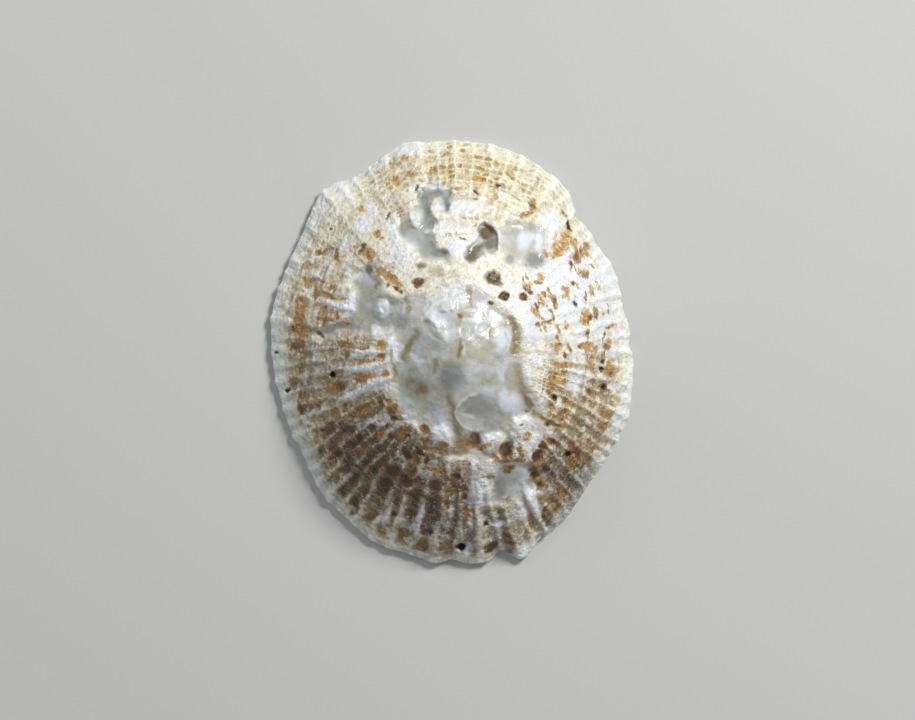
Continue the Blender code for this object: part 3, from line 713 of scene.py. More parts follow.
OLIVE_BLOTS = (
    (2.23, 4.11, 0.10, 0.20, 0, 0.8), (3.13, 3.91, 0.05, 0.14, 35, 0.8), (3.50, 2.70, 0.18, 0.10, 10, 0.85),
    (3.67, 2.22, 0.13, 0.13, 30, 0.95), (3.56, 2.27, 0.03, 0.17, 25, 0.7),
    (4.07, 1.88, 0.04, 0.14, 18, 0.7), (2.74, 1.51, 0.07, 0.16, 38, 0.75),
    (2.46, 1.34, 0.18, 0.05, -20, 0.85), (3.98, 1.12, 0.08, 0.17, 0, 0.7),
    (4.19, 1.14, 0.04, 0.14, 10, 0.7), (4.35, 1.26, 0.03, 0.17, 10, 0.7),
    (4.43, 0.72, 0.16, 0.06, 20, 0.75), (2.37, 0.75, 0.11, 0.07, 0, 0.8), (2.54, 0.83, 0.16, 0.04, 8, 0.7),
    (2.72, 0.86, 0.05, 0.07, 0, 0.8), (3.16, 0.69, 0.08, 0.08, 0.7), (2.91, 0.61, 0.06, 0.14, 25, 0.7),
    (3.22, 0.13, 0.04, 0.17, 20, 0.7), (3.73, 0.55, 0.05, 0.14, 10, 0.85), (4.29, 0.16, 0.08, 0.08, 0.85),
    (3.08, -1.31, 0.08, 0.11, 0.65), (2.96, 0.21, 0.06, 0.05, 0.7), (3.73, 0.30, 0.04, 0.04, 0.7),
    (2.06, -2.30, 0.11, 0.11, 0.65), (1.86, -2.75, 0.07, 0.20, 10, 0.8), (1.81, -2.98, 0.23, 0.06, 0, 0.65),
    (1.44, -3.01, 0.17, 0.06, 0, 0.65), (2.09, -4.79, 0.11, 0.28, -10, 0.9),
    (2.17, -4.56, 0.06, 0.08, 0, 0.7), (0.79, -3.71, 0.08, 0.14, 0, 0.65),
    (1.07, -3.46, 0.11, 0.04, 15, 0.85), (-0.03, -3.49, 0.08, 0.11, 0.85),
    (-2.71, -1.79, 0.16, 0.06, 18, 0.9), (-2.57, -3.46, 0.14, 0.11, 0.65),
    (-3.02, -3.94, 0.07, 0.20, -15, 0.75), (-2.82, -4.50, 0.10, 0.11, 0.8), (-2.23, -4.59, 0.21, 0.16, 0.8),
    (-1.67, -4.67, 0.11, 0.08, 0.8), (-3.76, 2.78, 0.17, 0.07, 0, 0.75), (-3.25, 2.67, 0.08, 0.25, 0, 0.75),
    (-2.12, 3.29, 0.09, 0.10, 0.85), (-1.98, 3.18, 0.08, 0.04, 20, 0.7),
    (-3.70, 0.49, 0.13, 0.05, -35, 0.9), (-1.69, 0.49, 0.06, 0.04, -60, 0.8),
    (0.62, 4.26, 0.08, 0.03, 0, 0.7), (1.20, 4.85, 0.06, 0.04, 0, 0.7), (1.02, 1.34, 0.07, 0.06, 0.8),
    (0.20, 1.00, 0.08, 0.05, 0, 0.75), (0.28, 3.12, 0.11, 0.03, -15, 0.8), (0.65, 3.46, 0.04, 0.06, 0.7),
    (0.68, 3.33, 0.07, 0.04, 0, 0.8),
)
# Sort of blot: how dark and how olive it is
BLOT_SORTS = ((ORANGE_BLOTS, 0.30, 0.05), (DARK_BLOTS, 0.95, 0.30), (OLIVE_BLOTS, 0.45, 0.95))
print(len(ORANGE_BLOTS), "orange,", len(DARK_BLOTS), "dark and", len(OLIVE_BLOTS), "olive blots")

# %% Fill the gaps between the ribs
# Columns round the shell, rows to the margin, half-width and half-length as shares of a cell, seed
WIDE_BLOTS = (36, 16, 0.42, 0.44, 81)
ROUND_BLOTS = (72, 16, 0.50, 0.46, 82)
THIN_BARS = (72, 30, 0.52, 0.36, 83)
SECOND_RIBS_FROM = 0.52  # inside this share of the way out only every other rib has grown
FADE = 0.05  # the share of the way out over which the brown begins and ends
FILL_RANGE = 0.60  # how gradually a cell goes from empty to full
NUDGE = (0.25, 0.50)  # how far chance moves a blot in its cell, across and along
BLOT_EDGE = (1.7, 1.4)  # where a blot ends and how soft it is, both in its own half-widths


def blots(turn, growth, filled, columns, rows, half_across, half_along, seed):
    """Random soft blots in the cells of a net: how strong one is at each point, and its tone of 0 to 1."""
    rolls = np.random.default_rng(seed).uniform(0.0, 1.0, (columns, rows, 5))
    strongest, tone = np.zeros(turn.shape), np.full(turn.shape, 0.5)
    for i, j in ((i, j) for i in (-1, 0, 1) for j in (-1, 0, 1)):
        column = np.floor(turn * columns).astype(int) + i
        row = np.floor(growth * rows).astype(int) + j
        aside_roll, along_roll, size_roll, filled_roll, tone_roll = rolls[column % columns, row % rows].T
        aside = turn * columns - column - 0.5 - NUDGE[0] * (aside_roll - 0.5)
        onward = growth * rows - row - 0.5 - NUDGE[1] * (along_roll - 0.5)
        size = 0.7 + 0.6 * size_roll
        away = np.hypot(aside / (half_across * size), onward / (half_along * size))
        within = smooth_step((BLOT_EDGE[0] - away) / BLOT_EDGE[1])
        strength = smooth_step((filled - filled_roll) / FILL_RANGE) * within
        tone = np.where(strength > strongest, tone_roll, tone)
        strongest = np.maximum(strongest, strength)
    return strongest, tone


print("cells for blots:", [net[:2] for net in (WIDE_BLOTS, ROUND_BLOTS, THIN_BARS)])

# %% Let strong ribs keep clean crests
# How strongly the ribs stand out, by bearing in degrees
RIB_ROUND = (
    (0, 0.60), (40, 0.50), (60, 0.30), (120, 0.25), (150, 0.30), (175, 0.50), (200, 0.55), (218, 0.70),
    (240, 1.05), (290, 1.00), (304, 0.50), (325, 0.50), (345, 0.65), (360, 0.60),
)
CREST = (0.10, 0.26)  # a crest is clean inside the first of these shares of a rib, and ends at the second
CLEAN_CRESTS = (0.62, 0.86)  # the shares of the way out between which the crests become clean


def rib_vigour(bearing, share):
    """How strongly the ribs stand out. They gain strength close to the margin."""
    vigour = by_bearing(bearing, RIB_ROUND)[0]
    return vigour + 0.5 * np.maximum(1.0 - vigour, 0.0) * smooth_step((share - 0.84) / 0.10)


def clean_crests(turn, share):
    """1 on the crest of a rib in the outer part of the shell, 0 in the gaps and further in."""
    from_crest = np.abs(turn * RIBS - np.round(turn * RIBS))
    crest = 1.0 - smooth_step((from_crest - CREST[0]) / (CREST[1] - CREST[0]))
    return crest * smooth_step((share - CLEAN_CRESTS[0]) / (CLEAN_CRESTS[1] - CLEAN_CRESTS[0]))


print("the ribs stand out most at", max(RIB_ROUND, key=lambda row: row[1])[0], "degrees")


# %% Put the brown together
def brown_fields(x, y, turn, growth, clear):
    """(strength, darkness, olive share, wash) of the brown at each point. Clear places get none by chance."""
    share, ribs_turn = growth, turn
    bearing = np.arctan2(y - APEX[1], x - APEX[0])
    first, last, filled, thin, dark, olive, wash = by_bearing(bearing, BROWN_ROUND)
    within = smooth_step((share - first) / FADE) * smooth_step((last - share) / FADE)
    filled = filled * within * (1.0 - clear)
    clumps = smooth_step(0.65 + 0.9 * wander(x, y, 0.60, 84))
    inner = smooth_step((SECOND_RIBS_FROM + 0.05 - share) / 0.1)
    turn = turn + 0.22 / RIBS * wander(x, y, 0.15, 85)
    growth = growth + 0.010 * wander(x, y, 0.15, 86)
    layers = [
        blots(turn, growth, filled * (1.0 - thin) * inner, *WIDE_BLOTS),
        blots(turn, growth, filled * (1.0 - thin) * (1.0 - inner), *ROUND_BLOTS),
        blots(turn, growth, filled * thin * (0.5 + clumps), *THIN_BARS),
    ]
    rough_x, rough_y = frayed(x, y, 0.035, 0.16, seed=87)
    sorts, sort_darks, sort_olives = zip(*BLOT_SORTS)
    placed = [marked(rough_x, rough_y, sort, softness=0.85) for sort in sorts]
    weights = [strength**2 for strength, _ in layers] + [2.0 * strength**2 for strength in placed]
    darks = [dark + 0.7 * (tone - 0.5) for _, tone in layers] + list(sort_darks)
    olives = [olive + 0.9 * (0.5 - tone) for _, tone in layers] + list(sort_olives)
    total = np.sum(weights, axis=0) + 1e-6
    strength = np.max([strength for strength, _ in layers] + placed, axis=0)
    strength = strength * (1.0 - 0.80 * clean_crests(ribs_turn, share) * rib_vigour(bearing, share) ** 2)
    darkness = sum(weight * value for weight, value in zip(weights, darks)) / total
    olive_share = sum(weight * value for weight, value in zip(weights, olives)) / total
    wash = np.maximum(wash * within, 1.1 * marked(x, y, WASHES, softness=0.8))
    return strength, darkness, olive_share, wash


print(sum(len(sort) for sort, _, _ in BLOT_SORTS), "blots placed by hand")

# %% [markdown]
# ## Broad tints
#
# Between the marks the ground colour drifts: snow white where the shell is thick and clean at the upper
# right, and there partly a painted pool of light on the side that faces the key lamp; straw yellow along the
# top;
# dull at the lower left, partly for its dense brown and partly as painted shade on the side turned from the
# key lamp; and bluish white where the thin margin lets light through. Milky, smoky, mossy and amber patches
# drift through the glassy crown in the same way.

# %% Place the broad tints
# The first and largest patch, at the upper right, is partly a painted pool of light, on the side that faces
# the key lamp
SNOW = (
    (3.16, 1.76, 0.99, 1.27, 1), (3.87, 0.41, 0.62, 0.85, 0.55), (2.71, 3.68, 0.25, 0.37, 0, 0.8),
    (0.71, -3.94, 0.31, 0.34, 0.85), (0.62, -3.80, 0.06, 0.08, 0, 1), (0.93, -3.15, 0.23, 0.20, 0.7),
    (0.56, -3.09, 0.20, 0.17, 0.6), (2.34, -3.85, 0.17, 0.23, -30, 0.75),
    (1.92, -4.45, 0.23, 0.20, -30, 0.7), (1.24, -4.81, 0.20, 0.07, 0, 1),
    (0.62, -4.64, 0.23, 0.11, -15, 0.7), (-2.17, -0.04, 0.25, 0.06, 0, 0.9),
    (-2.26, -0.47, 0.27, 0.08, 3, 1), (-2.12, -0.95, 0.37, 0.08, 14, 0.95),
    (-2.26, 3.94, 0.17, 0.25, 0, 0.75), (-2.57, 3.52, 0.17, 0.20, 1), (-1.44, 2.72, 0.31, 0.25, 0.75),
    (-2.91, 1.40, 0.17, 0.31, -10, 0.9), (-3.25, 1.26, 0.23, 0.07, -18, 0.85),
    (-1.64, 0.32, 0.11, 0.25, 20, 0.85), (-1.55, -0.16, 0.11, 0.23, 0, 0.6),
    (-1.95, 1.23, 0.11, 0.20, 0, 0.8), (-2.12, 0.61, 0.13, 0.10, 0.8), (-0.45, 4.05, 0.14, 0.07, 0, 1),
    (-0.03, 3.97, 0.14, 0.14, 0.8), (0.25, 4.02, 0.40, 0.20, 0, 0.7), (-0.45, 3.30, 0.28, 0.07, 0, 1),
    (0.48, 3.18, 0.25, 0.08, 0, 0.9), (0.11, 2.89, 0.23, 0.20, 0.95), (-1.10, 3.68, 0.17, 0.23, 0.8),
    (-1.69, 3.29, 0.17, 0.20, 0.7), (-1.21, 4.05, 0.11, 0.11, 0.6), (-0.59, 4.62, 0.25, 0.06, 0, 0.9),
    (-2.06, -1.91, 0.34, 0.13, 15, 0.85), (-1.27, -1.71, 0.11, 0.11, 0.8),
    (-1.24, -1.96, 0.25, 0.10, 0, 0.75), (-1.78, -2.24, 0.23, 0.07, 42, 0.8),
    (-1.02, -3.29, 0.23, 0.06, 0, 0.75), (-0.06, -2.89, 0.06, 0.04, 1), (0.42, -5.55, 0.10, 0.20, -10, 0.8),
    (1.92, -5.66, 0.20, 0.17, 0.9), (2.09, -5.44, 0.08, 0.11, 0.7), (2.09, -2.84, 0.11, 0.20, 0, 0.75),
    (2.26, -2.50, 0.14, 0.20, 0.7), (2.68, -2.19, 0.14, 0.16, 0.6), (3.33, -0.89, 0.23, 0.20, 0.75),
    (3.42, -0.55, 0.31, 0.10, 0, 0.7), (1.92, -1.88, 0.23, 0.08, 0, 0.9), (1.69, -2.19, 0.08, 0.20, 0, 0.9),
    (1.04, -2.39, 0.23, 0.11, 0, 0.85), (2.60, -0.13, 0.40, 0.06, 0, 0.6),
    (3.44, -0.13, 0.34, 0.07, 0, 0.7), (2.00, -0.55, 0.14, 0.34, 0, 0.55),
    (2.40, -1.31, 0.28, 0.11, -30, 0.5), (3.02, -1.68, 0.28, 0.06, -38, 0.6),
    (-0.14, -4.81, 0.11, 0.11, 0.5), (-0.17, -5.27, 0.14, 0.11, 0.5), (-0.56, -5.01, 0.08, 0.25, -18, 0.55),
    (-1.16, -4.93, 0.07, 0.23, -28, 0.5), (-0.82, -5.07, 0.07, 0.23, -22, 0.5),
    (-2.91, -1.60, 0.23, 0.10, 10, 0.5), (-0.37, -5.44, 0.14, 0.14, 0.5), (0.99, 1.37, 0.23, 0.07, 0, 0.6),
    (-0.20, 1.62, 0.08, 0.17, 0, 0.6), (-0.08, 1.14, 0.14, 0.08, 0, 0.8), (-0.23, 0.80, 0.11, 0.10, 0.7),
    (-0.56, 1.03, 0.14, 0.11, 30, 0.7), (0.25, 1.68, 0.28, 0.07, 8, 0.7), (0.88, 1.68, 0.14, 0.07, 0, 0.8),
    (1.30, 0.86, 0.23, 0.08, 0, 0.5), (1.47, 1.82, 0.08, 0.07, 0.7), (-2.85, 2.10, 0.17, 0.06, 0, 0.7),
)
STRAW = (
    (0.62, 5.15, 1.69, 0.68, 1), (2.32, 4.45, 0.68, 0.68, 0.7), (-2.06, 4.87, 0.68, 0.79, 0.55),
    (2.71, -0.72, 0.45, 0.51, 0.8), (0.48, 3.68, 0.28, 0.08, 0, 0.9), (-0.03, 3.25, 0.40, 0.05, 0, 0.9),
    (0.25, 4.59, 0.73, 0.11, 0, 0.8), (-3.47, 3.18, 0.73, 0.62, 0.45), (4.07, 0.21, 0.40, 0.40, 0.4),
    (3.50, 3.60, 0.14, 0.28, 10, 0.5), (3.87, 1.48, 0.45, 0.85, 0, 0.3), (2.68, -1.20, 0.34, 0.23, 0, 0.4),
    (2.12, 3.88, 0.23, 0.23, 0.5), (2.09, -2.33, 0.17, 0.17, 0.4), (2.26, -5.24, 0.14, 0.11, 0.5),
    (-2.29, -3.32, 0.23, 0.40, 0, 0.25),
)
# The dull lower part: partly its dense brown, and partly painted shade on the side turned from the key lamp
DULL = (
    (-2.20, -3.04, 1.64, 1.41, 1), (-0.37, -4.31, 1.19, 1.30, 1), (-3.76, -0.75, 0.79, 0.75, 0.5),
    (3.36, -3.66, 0.96, 1.41, 1), (1.33, -4.79, 0.73, 1.07, 0.8), (0.06, -5.15, 0.85, 0.62, 0.9),
    (-3.70, 0.07, 0.40, 0.56, 0.4), (2.60, -4.73, 0.56, 0.73, 0.7), (1.75, -3.60, 1.13, 0.85, 0.45),
    (4.09, -2.33, 0.51, 1.02, 0.5), (1.33, -2.89, 1.13, 0.40, 0.3), (4.15, -0.92, 0.45, 0.85, 0, 0.25),
)
MILK = (
    (1.95, 3.09, 0.17, 0.28, 0, 0.9), (2.37, 3.09, 0.11, 0.25, 0, 1), (2.15, 3.23, 0.14, 0.14, 0.7),
    (2.17, 0.58, 0.20, 0.42, 0, 0.9), (2.68, 0.52, 0.28, 0.14, 0, 0.6), (4.15, 0.78, 0.37, 0.20, 0, 0.8),
    (1.30, 0.32, 0.20, 0.31, 5, 1), (1.52, -1.40, 0.28, 0.31, 1), (-0.34, -1.79, 0.17, 0.10, -25, 0.8),
    (-0.34, -2.24, 0.23, 0.23, 0.9), (-0.48, 0.78, 0.14, 0.25, 30, 0.9), (-0.06, 0.55, 0.17, 0.20, 0.6),
    (1.33, -0.64, 0.11, 0.25, 0, 0.6), (0.88, -1.00, 0.25, 0.17, 0, 0.55),
    (0.59, -0.38, 0.25, 0.14, -25, 0.5), (0.40, -1.74, 0.23, 0.07, -10, 0.7),
    (-1.44, 0.18, 0.08, 0.20, 20, 0.6), (0.37, 1.40, 0.51, 0.23, 0, 0.55), (0.71, 1.14, 0.14, 0.08, 0, 0.5),
    (-0.65, 1.20, 0.14, 0.23, 0, 0.5), (1.81, -3.80, 0.34, 0.14, 0, 0.5), (1.44, -4.00, 0.11, 0.04, 0, 1),
    (4.49, -0.97, 0.25, 0.13, 0, 0.6), (4.66, -1.74, 0.20, 0.17, 0.7), (4.38, -0.04, 0.34, 0.10, 0, 0.5),
    (-0.17, 3.49, 0.40, 0.07, 0, 0.7), (-3.02, 2.98, 0.11, 0.14, 0.7), (-0.45, 4.73, 0.17, 0.04, 0, 0.7),
    (-1.30, 5.72, 0.45, 0.14, 0, 0.9), (1.33, 5.55, 0.25, 0.06, 0, 0.5), (4.43, 1.76, 0.23, 0.96, 0, 0.6),
    (4.04, 3.18, 0.17, 0.34, -35, 0.5), (-1.61, 3.15, 0.20, 0.08, 0, 0.5),
    (-2.80, 1.37, 0.14, 0.28, 0, 0.6),
)
SMOKE = (
    (-0.06, -0.72, 0.42, 0.42, 0.85), (-0.48, -0.38, 0.07, 0.20, 0, 0.6), (-1.38, 0.86, 0.25, 0.28, 0.6),
    (-1.89, 0.97, 0.28, 0.25, 0.55), (0.71, -1.48, 0.54, 0.30, -12, 0.85),
    (1.02, -1.91, 0.40, 0.25, -30, 0.55), (0.42, 1.06, 0.28, 0.10, 0, 0.5),
    (2.29, 2.56, 0.28, 0.20, 0, 0.95), (1.55, 2.56, 0.14, 0.13, 0.75), (-0.82, 4.36, 0.17, 0.20, 0.85),
    (-0.45, 4.42, 0.25, 0.14, 0, 0.85), (-0.17, 4.16, 0.10, 0.20, 0, 0.9),
    (-0.76, 3.88, 0.11, 0.40, 0, 0.8), (-0.62, 3.57, 0.11, 0.11, 0.9), (-1.38, 3.40, 0.11, 0.25, 0, 0.5),
    (-0.71, 2.95, 0.17, 0.23, 0.5), (1.33, -3.66, 0.23, 0.40, 0, 0.75), (1.61, -3.46, 0.34, 0.17, 0, 0.6),
    (2.43, 2.47, 0.11, 0.11, 0.5), (-1.02, 0.92, 0.08, 0.23, 0, 0.5),
)
MOSS = (
    (0.96, 3.32, 0.23, 0.25, -20, 1), (1.04, 3.01, 0.20, 0.20, 0.95), (0.51, 2.67, 0.17, 0.23, -35, 1),
    (0.71, 2.89, 0.20, 0.11, 30, 0.9), (0.99, 2.05, 0.14, 0.14, 0.8), (1.24, 1.88, 0.11, 0.11, 0.9),
    (1.40, 1.52, 0.13, 0.12, 1), (1.69, 0.44, 0.08, 0.45, 3, 0.75), (1.58, 0.86, 0.10, 0.07, 0.5),
    (2.09, -1.40, 0.09, 0.31, 28, 0.9), (-1.19, 0.18, 0.07, 0.25, -28, 0.85),
    (-1.58, -0.52, 0.05, 0.23, 3, 0.6), (0.18, 0.07, 0.06, 0.20, -10, 1), (0.99, 0.58, 0.05, 0.13, 0, 0.8),
    (0.06, -1.91, 0.07, 0.45, 12, 0.8), (0.20, -2.50, 0.08, 0.23, 0, 0.7),
    (0.08, -2.75, 0.34, 0.07, 0, 0.6), (1.58, -2.39, 0.11, 0.17, 0, 0.7), (-0.40, 2.72, 0.20, 0.11, 0, 0.6),
    (-0.23, 2.78, 0.10, 0.11, 0.8), (-2.32, 2.30, 0.10, 0.14, 0, 0.8), (-1.21, 1.17, 0.08, 0.11, 0.5),
    (-1.27, 1.43, 0.04, 0.11, 0, 0.8), (-1.69, 0.49, 0.08, 0.06, -50, 0.5),
    (-0.88, 2.39, 0.14, 0.10, 0, 0.8), (0.90, 3.18, 0.11, 0.08, 0.5), (2.23, -2.02, 0.08, 0.28, 30, 0.5),
    (2.34, -2.19, 0.08, 0.23, 25, 0.5),
)
AMBER = (
    (-0.88, -1.03, 0.20, 0.20, 0.8), (-1.13, -0.80, 0.14, 0.10, 0, 0.5), (0.59, -2.41, 0.16, 0.23, 0, 1),
    (0.31, -2.47, 0.23, 0.23, 0.7), (1.47, -2.72, 0.17, 0.20, -35, 1), (1.61, 0.86, 0.10, 0.08, 0.5),
    (-0.79, -2.13, 0.13, 0.11, 0.9), (1.86, -2.81, 0.08, 0.17, 0, 0.6), (1.27, 1.88, 0.09, 0.09, 0.6),
    (-2.29, 2.33, 0.07, 0.11, 0, 0.6), (2.15, -1.45, 0.07, 0.23, 28, 0.5),
    (-0.93, 1.91, 0.16, 0.13, 10, 0.7), (1.47, -2.98, 0.34, 0.07, 0, 0.5),
)
GREENISH = (
    (-0.71, 3.88, 0.73, 0.96, 1), (-1.07, -0.92, 0.40, 0.62, 0.5), (-0.37, 2.89, 0.56, 0.40, 0.8),
    (-0.65, 0.35, 0.56, 0.68, 0.25), (-2.48, 1.48, 0.45, 0.96, 0.4), (2.88, -0.72, 0.56, 0.45, 0.2),
    (-2.91, -0.92, 0.56, 0.56, 0.2),
)
# Tint: its marks, how far noise pushes them about, softness
TINT_MARKS = {
    "snow": (SNOW, "rough", 0.7),
    "straw": (STRAW, "still", 0.7),
    "dull": (DULL, "still", 0.7),
    "milk": (MILK, "rough", 0.7),
    "smoke": (SMOKE, "rough", 0.75),
    "moss": (MOSS, "near", 0.7),
    "amber": (AMBER, "near", 0.8),
    "greenish": (GREENISH, "still", 0.6),
}
print("tints:", ", ".join(f"{len(marks)} {name}" for name, (marks, _, _) in TINT_MARKS.items()))

# %% Say how bluish the thin margin is
# The share of the way out where the thin margin begins, and how much further in it can begin
BLUISH_FROM = (0.965, 0.020)
# How bluish the thin margin is, by bearing in degrees
BLUISH_ROUND = (
    (0, 0.9), (40, 0.5), (75, 0.2), (105, 0.5), (130, 1.0), (200, 1.0), (235, 0.6), (270, 0.3), (300, 0.3),
    (330, 0.8), (360, 0.9),
)
print("bluish at the left:", round(float(by_bearing(math.pi, BLUISH_ROUND)[0]), 2))

# %% [markdown]
# ## From rule to mesh
#
# Now the net gets its shape. The outer skin is the cone, less the missing layer, the pits and the
# grooves. The edge is rounded down to a flat ring, and the hollow follows the cone from inside. Each
# field that the material needs is kept on the points under its own name.

# %% Let the shell grow unevenly
RIB_WOBBLE = ((1.10, 0.20), (0.32, 0.16))  # width of the lumps in mm, and reach as a share of a rib
THREAD_WOBBLE = ((1.30, 0.010), (0.35, 0.006))  # the same, as a share of the way out
# The ribs stand further apart at the lower left: how many ribs the count lags there, by bearing in degrees
RIB_SHIFT = ((0, 0.0), (225, 0.2), (240, 0.05), (262, -0.9), (282, -1.75), (345, 0.0), (360, 0.0))


def grown(bearing, share, x, y):
    """(turn round the apex, share of the way out) as the shell grew, which is never quite even."""
    sway, drift = wandering(x, y, RIB_WOBBLE, 61), wandering(x, y, THREAD_WOBBLE, 71)
    crowding = by_bearing(bearing, RIB_SHIFT)[0]
    turn = bearing / math.tau + (sway * smooth_step(share / 0.3) + crowding) / RIBS
    return turn, share + drift * smooth_step(share / 0.1) * smooth_step((1 - share) / 0.05)


print("the rib count lags by up to", -min(shift for _, shift in RIB_SHIFT), "ribs")

# %% Shape the outer skin
OUTLINE_HEIGHT = 0.016
GAP_DEPTH = 0.032  # how deep the brown gaps lie between the ribs
CROWN_LIFT = LAYER  # the unworn cone stood this much higher than the crown does today
SWELL = ((0.90, 0.030), (0.35, 0.020))  # width of the lumps and height of the swelling, in mm
INLAND = 0.06  # the share of the way out over which the swelling grows in from the margin
FULL_PIT, FULL_GROOVE, FULL_RIB = 0.09, 0.028, 0.05  # how deep or high one is where its colour is full
BARE_PIT = 0.06  # a pit this deep has no ribs left in it
# How far the marks' edges are pushed about, in lumps how wide, both in mm, and the seed
PUSHES = {"rough": (0.05, 0.20, 31), "near": (0.03, 0.12, 35), "shaken": (0.10, 0.24, 33)}


def outer_skin(bearing, share):
    """Heights of the outer skin in mm, and the fields that the relief and the colours read."""
    x, y = seen_from_above(bearing, share)
    turn, growth = grown(bearing, share, x, y)
    rough, near, shaken = (frayed(x, y, *push) for push in PUSHES.values())
    bare, broken = bare_fields(x, y)
    remnant = marked(*shaken, REMNANTS, softness=0.6)
    bare = bare * (1.0 - remnant)
    pits, pinholes = marked(*rough, PITS, softness=0.45), marked(*near, PINHOLES, softness=0.5)
    strong, grooves = marked(*near, STRONG_RIBS, softness=0.6), traced(*near, GROOVES)
    outlines = np.maximum(ringed(*near), traced(*near, RIDGES))
    pushed = {"still": (x, y), "rough": rough, "near": near}
    tints = {
        name: marked(*pushed[how], marks, softness)
        for name, (marks, how, softness) in TINT_MARKS.items()
    }
    clear = np.maximum(marked(x, y, CLEAN), 0.8 * np.maximum(tints["milk"], tints["smoke"]))
    brown, dark, olive, wash = brown_fields(x, y, turn, growth, clear)

    inland = smooth_step((1.0 - share) / INLAND)
    height = MARGIN_THICKNESS + (HEIGHT + CROWN_LIFT - MARGIN_THICKNESS) * (1.0 - cone_fall(share))
    height = height - LAYER * bare - pits - PINHOLE_DEPTH * pinholes - grooves
    height = height - marked(x, y, DISHES, softness=0.35) + marked(*near, BUMPS, softness=0.6)
    height = height + (wandering(x, y, SWELL, 41) + 0.2 * LAYER * broken) * inland
    height = height + strong + OUTLINE_HEIGHT * outlines - GAP_DEPTH * brown * (1.0 - bare)

    bluish = by_bearing(bearing, BLUISH_ROUND)[0]
    thin_from = BLUISH_FROM[0] - BLUISH_FROM[1] * bluish + 0.03 * wander(x, y, 0.5, 51)
    thick_ribs = np.clip(strong / FULL_RIB, 0.0, 1.0)
    tints["snow"] = np.maximum.reduce([tints["snow"], 0.4 * remnant, 0.8 * thick_ribs])
    fields = {
        "kept": (1.0 - bare) * (1.0 - np.clip(pits / BARE_PIT, 0, 1)),
        "bare": bare,
        "pale_edge": np.maximum(broken, outlines),
        "pit": np.clip(pits / FULL_PIT, 0, 1),
        "pinhole": pinholes,
        "groove": np.clip(grooves / FULL_GROOVE, 0, 1),
        "brown": brown * (1.0 - 0.85 * thick_ribs),
        "dark": dark,
        "olive": olive,
        "wash": wash,
        "vigour": rib_vigour(bearing, share),
        "thin_margin": bluish * smooth_step((share - thin_from) / 0.035),
    }
    return x, y, height, {**fields, **tints}


print("height at the apex, in mm:", round(float(outer_skin(np.zeros(1), np.zeros(1))[2][0]), 2))


# %% Shape the hollow
def hollow_skin(bearing, share):
    """The smooth roof of the hollow, from the flat ring at share 1 to its top at 0."""
    edge_x, edge_y = margin(bearing)
    reach = 1.0 - RIM_WIDTH / np.hypot(edge_x - APEX[0], edge_y - APEX[1])
    x, y = seen_from_above(bearing, share * reach)
    return x, y, (HEIGHT - CROWN_WALL) * (1.0 - cone_fall(share))


FIELDS = tuple(outer_skin(np.zeros(1), np.zeros(1))[3])
print(len(FIELDS), "fields:", ", ".join(FIELDS))


# %% Join the rings into one net
def ring_points(share, spokes, kind, lift):
    """One ring: bearings, shares of the way out, x, y, z, fields, and 1 where the outer skin is."""
    bearing = np.arange(spokes) * (math.tau / spokes)
    shares = np.full(spokes, share)
    if kind == "outer":
        return bearing, shares, *outer_skin(bearing, shares), np.ones(spokes)
    blank = {name: np.zeros(spokes) for name in FIELDS}
    if kind == "edge":
        blank["thin_margin"] = np.ones(spokes)
        place = (*seen_from_above(bearing, shares), np.full(spokes, lift * MARGIN_THICKNESS))
    else:
        place = hollow_skin(bearing, shares)
    return bearing, shares, *place, blank, np.zeros(spokes)


def build_net():
    """Points, faces and fields of the whole skin."""
    crown, roof = (0.0, 1, "outer", 0.0), (0.0, 1, "hollow", 0.0)
    rows = [ring_points(*ring) for ring in (crown, *PLAN, roof)]
    bearing, share, x, y, z, skin = (np.concatenate([row[i] for row in rows]) for i in (0, 1, 2, 3, 4, 6))
    fields = {name: np.concatenate([row[5][name] for row in rows]) for name in FIELDS}
    counts = [spokes for _, spokes, _, _ in PLAN]
    starts = np.concatenate([[1], 1 + np.cumsum(counts)])
    faces = [(0, 1 + i, 1 + (i + 1) % counts[0]) for i in range(counts[0])]
    side = [OUTSIDE] * len(faces)
    for i, (_, _, kind, _) in enumerate(PLAN[1:]):
        new = stitch(starts[i], counts[i], starts[i + 1], counts[i + 1])
        faces += new
        side += [UNDERSIDE if kind == "hollow" else OUTSIDE] * len(new)
    last, count = starts[-2], counts[-1]
    roof_faces = [(last + i, starts[-1], last + (i + 1) % count) for i in range(count)]
    side += [UNDERSIDE] * count
    return np.stack([x, y, z], axis=1), faces + roof_faces, side, bearing, share, skin, fields


print("points at the margin:", MARGIN_SPOKES)


# %% Build the mesh and its map
def unwrap(mesh, turn, growth):
    """A UV map with the turn round the apex across and the share of the way out up, whole across the seam."""
    layer = mesh.uv_layers.new(name="growth_map")
    corner_point = np.empty(len(mesh.loops), np.int32)
    mesh.loops.foreach_get("vertex_index", corner_point)
    face_start = np.empty(len(mesh.polygons), np.int32)
    mesh.polygons.foreach_get("loop_start", face_start)
    sizes = np.diff(np.append(face_start, len(corner_point)))
    across, up = turn[corner_point], growth[corner_point]
    widest = np.repeat(np.maximum.reduceat(across, face_start), sizes)
    across = np.where(widest - across > 0.5, across + 1.0, across)
    at_apex = up < 1e-6
    beside = np.repeat(np.maximum.reduceat(np.where(at_apex, 0.0, across), face_start), sizes)
    across = np.where(at_apex, beside, across)
    layer.data.foreach_set("uv", np.stack([across, up], axis=1).astype(np.float32).ravel())


def store(mesh, name, values):
    mesh.attributes.new(name, "FLOAT", "POINT").data.foreach_set("value", values.astype(np.float32))


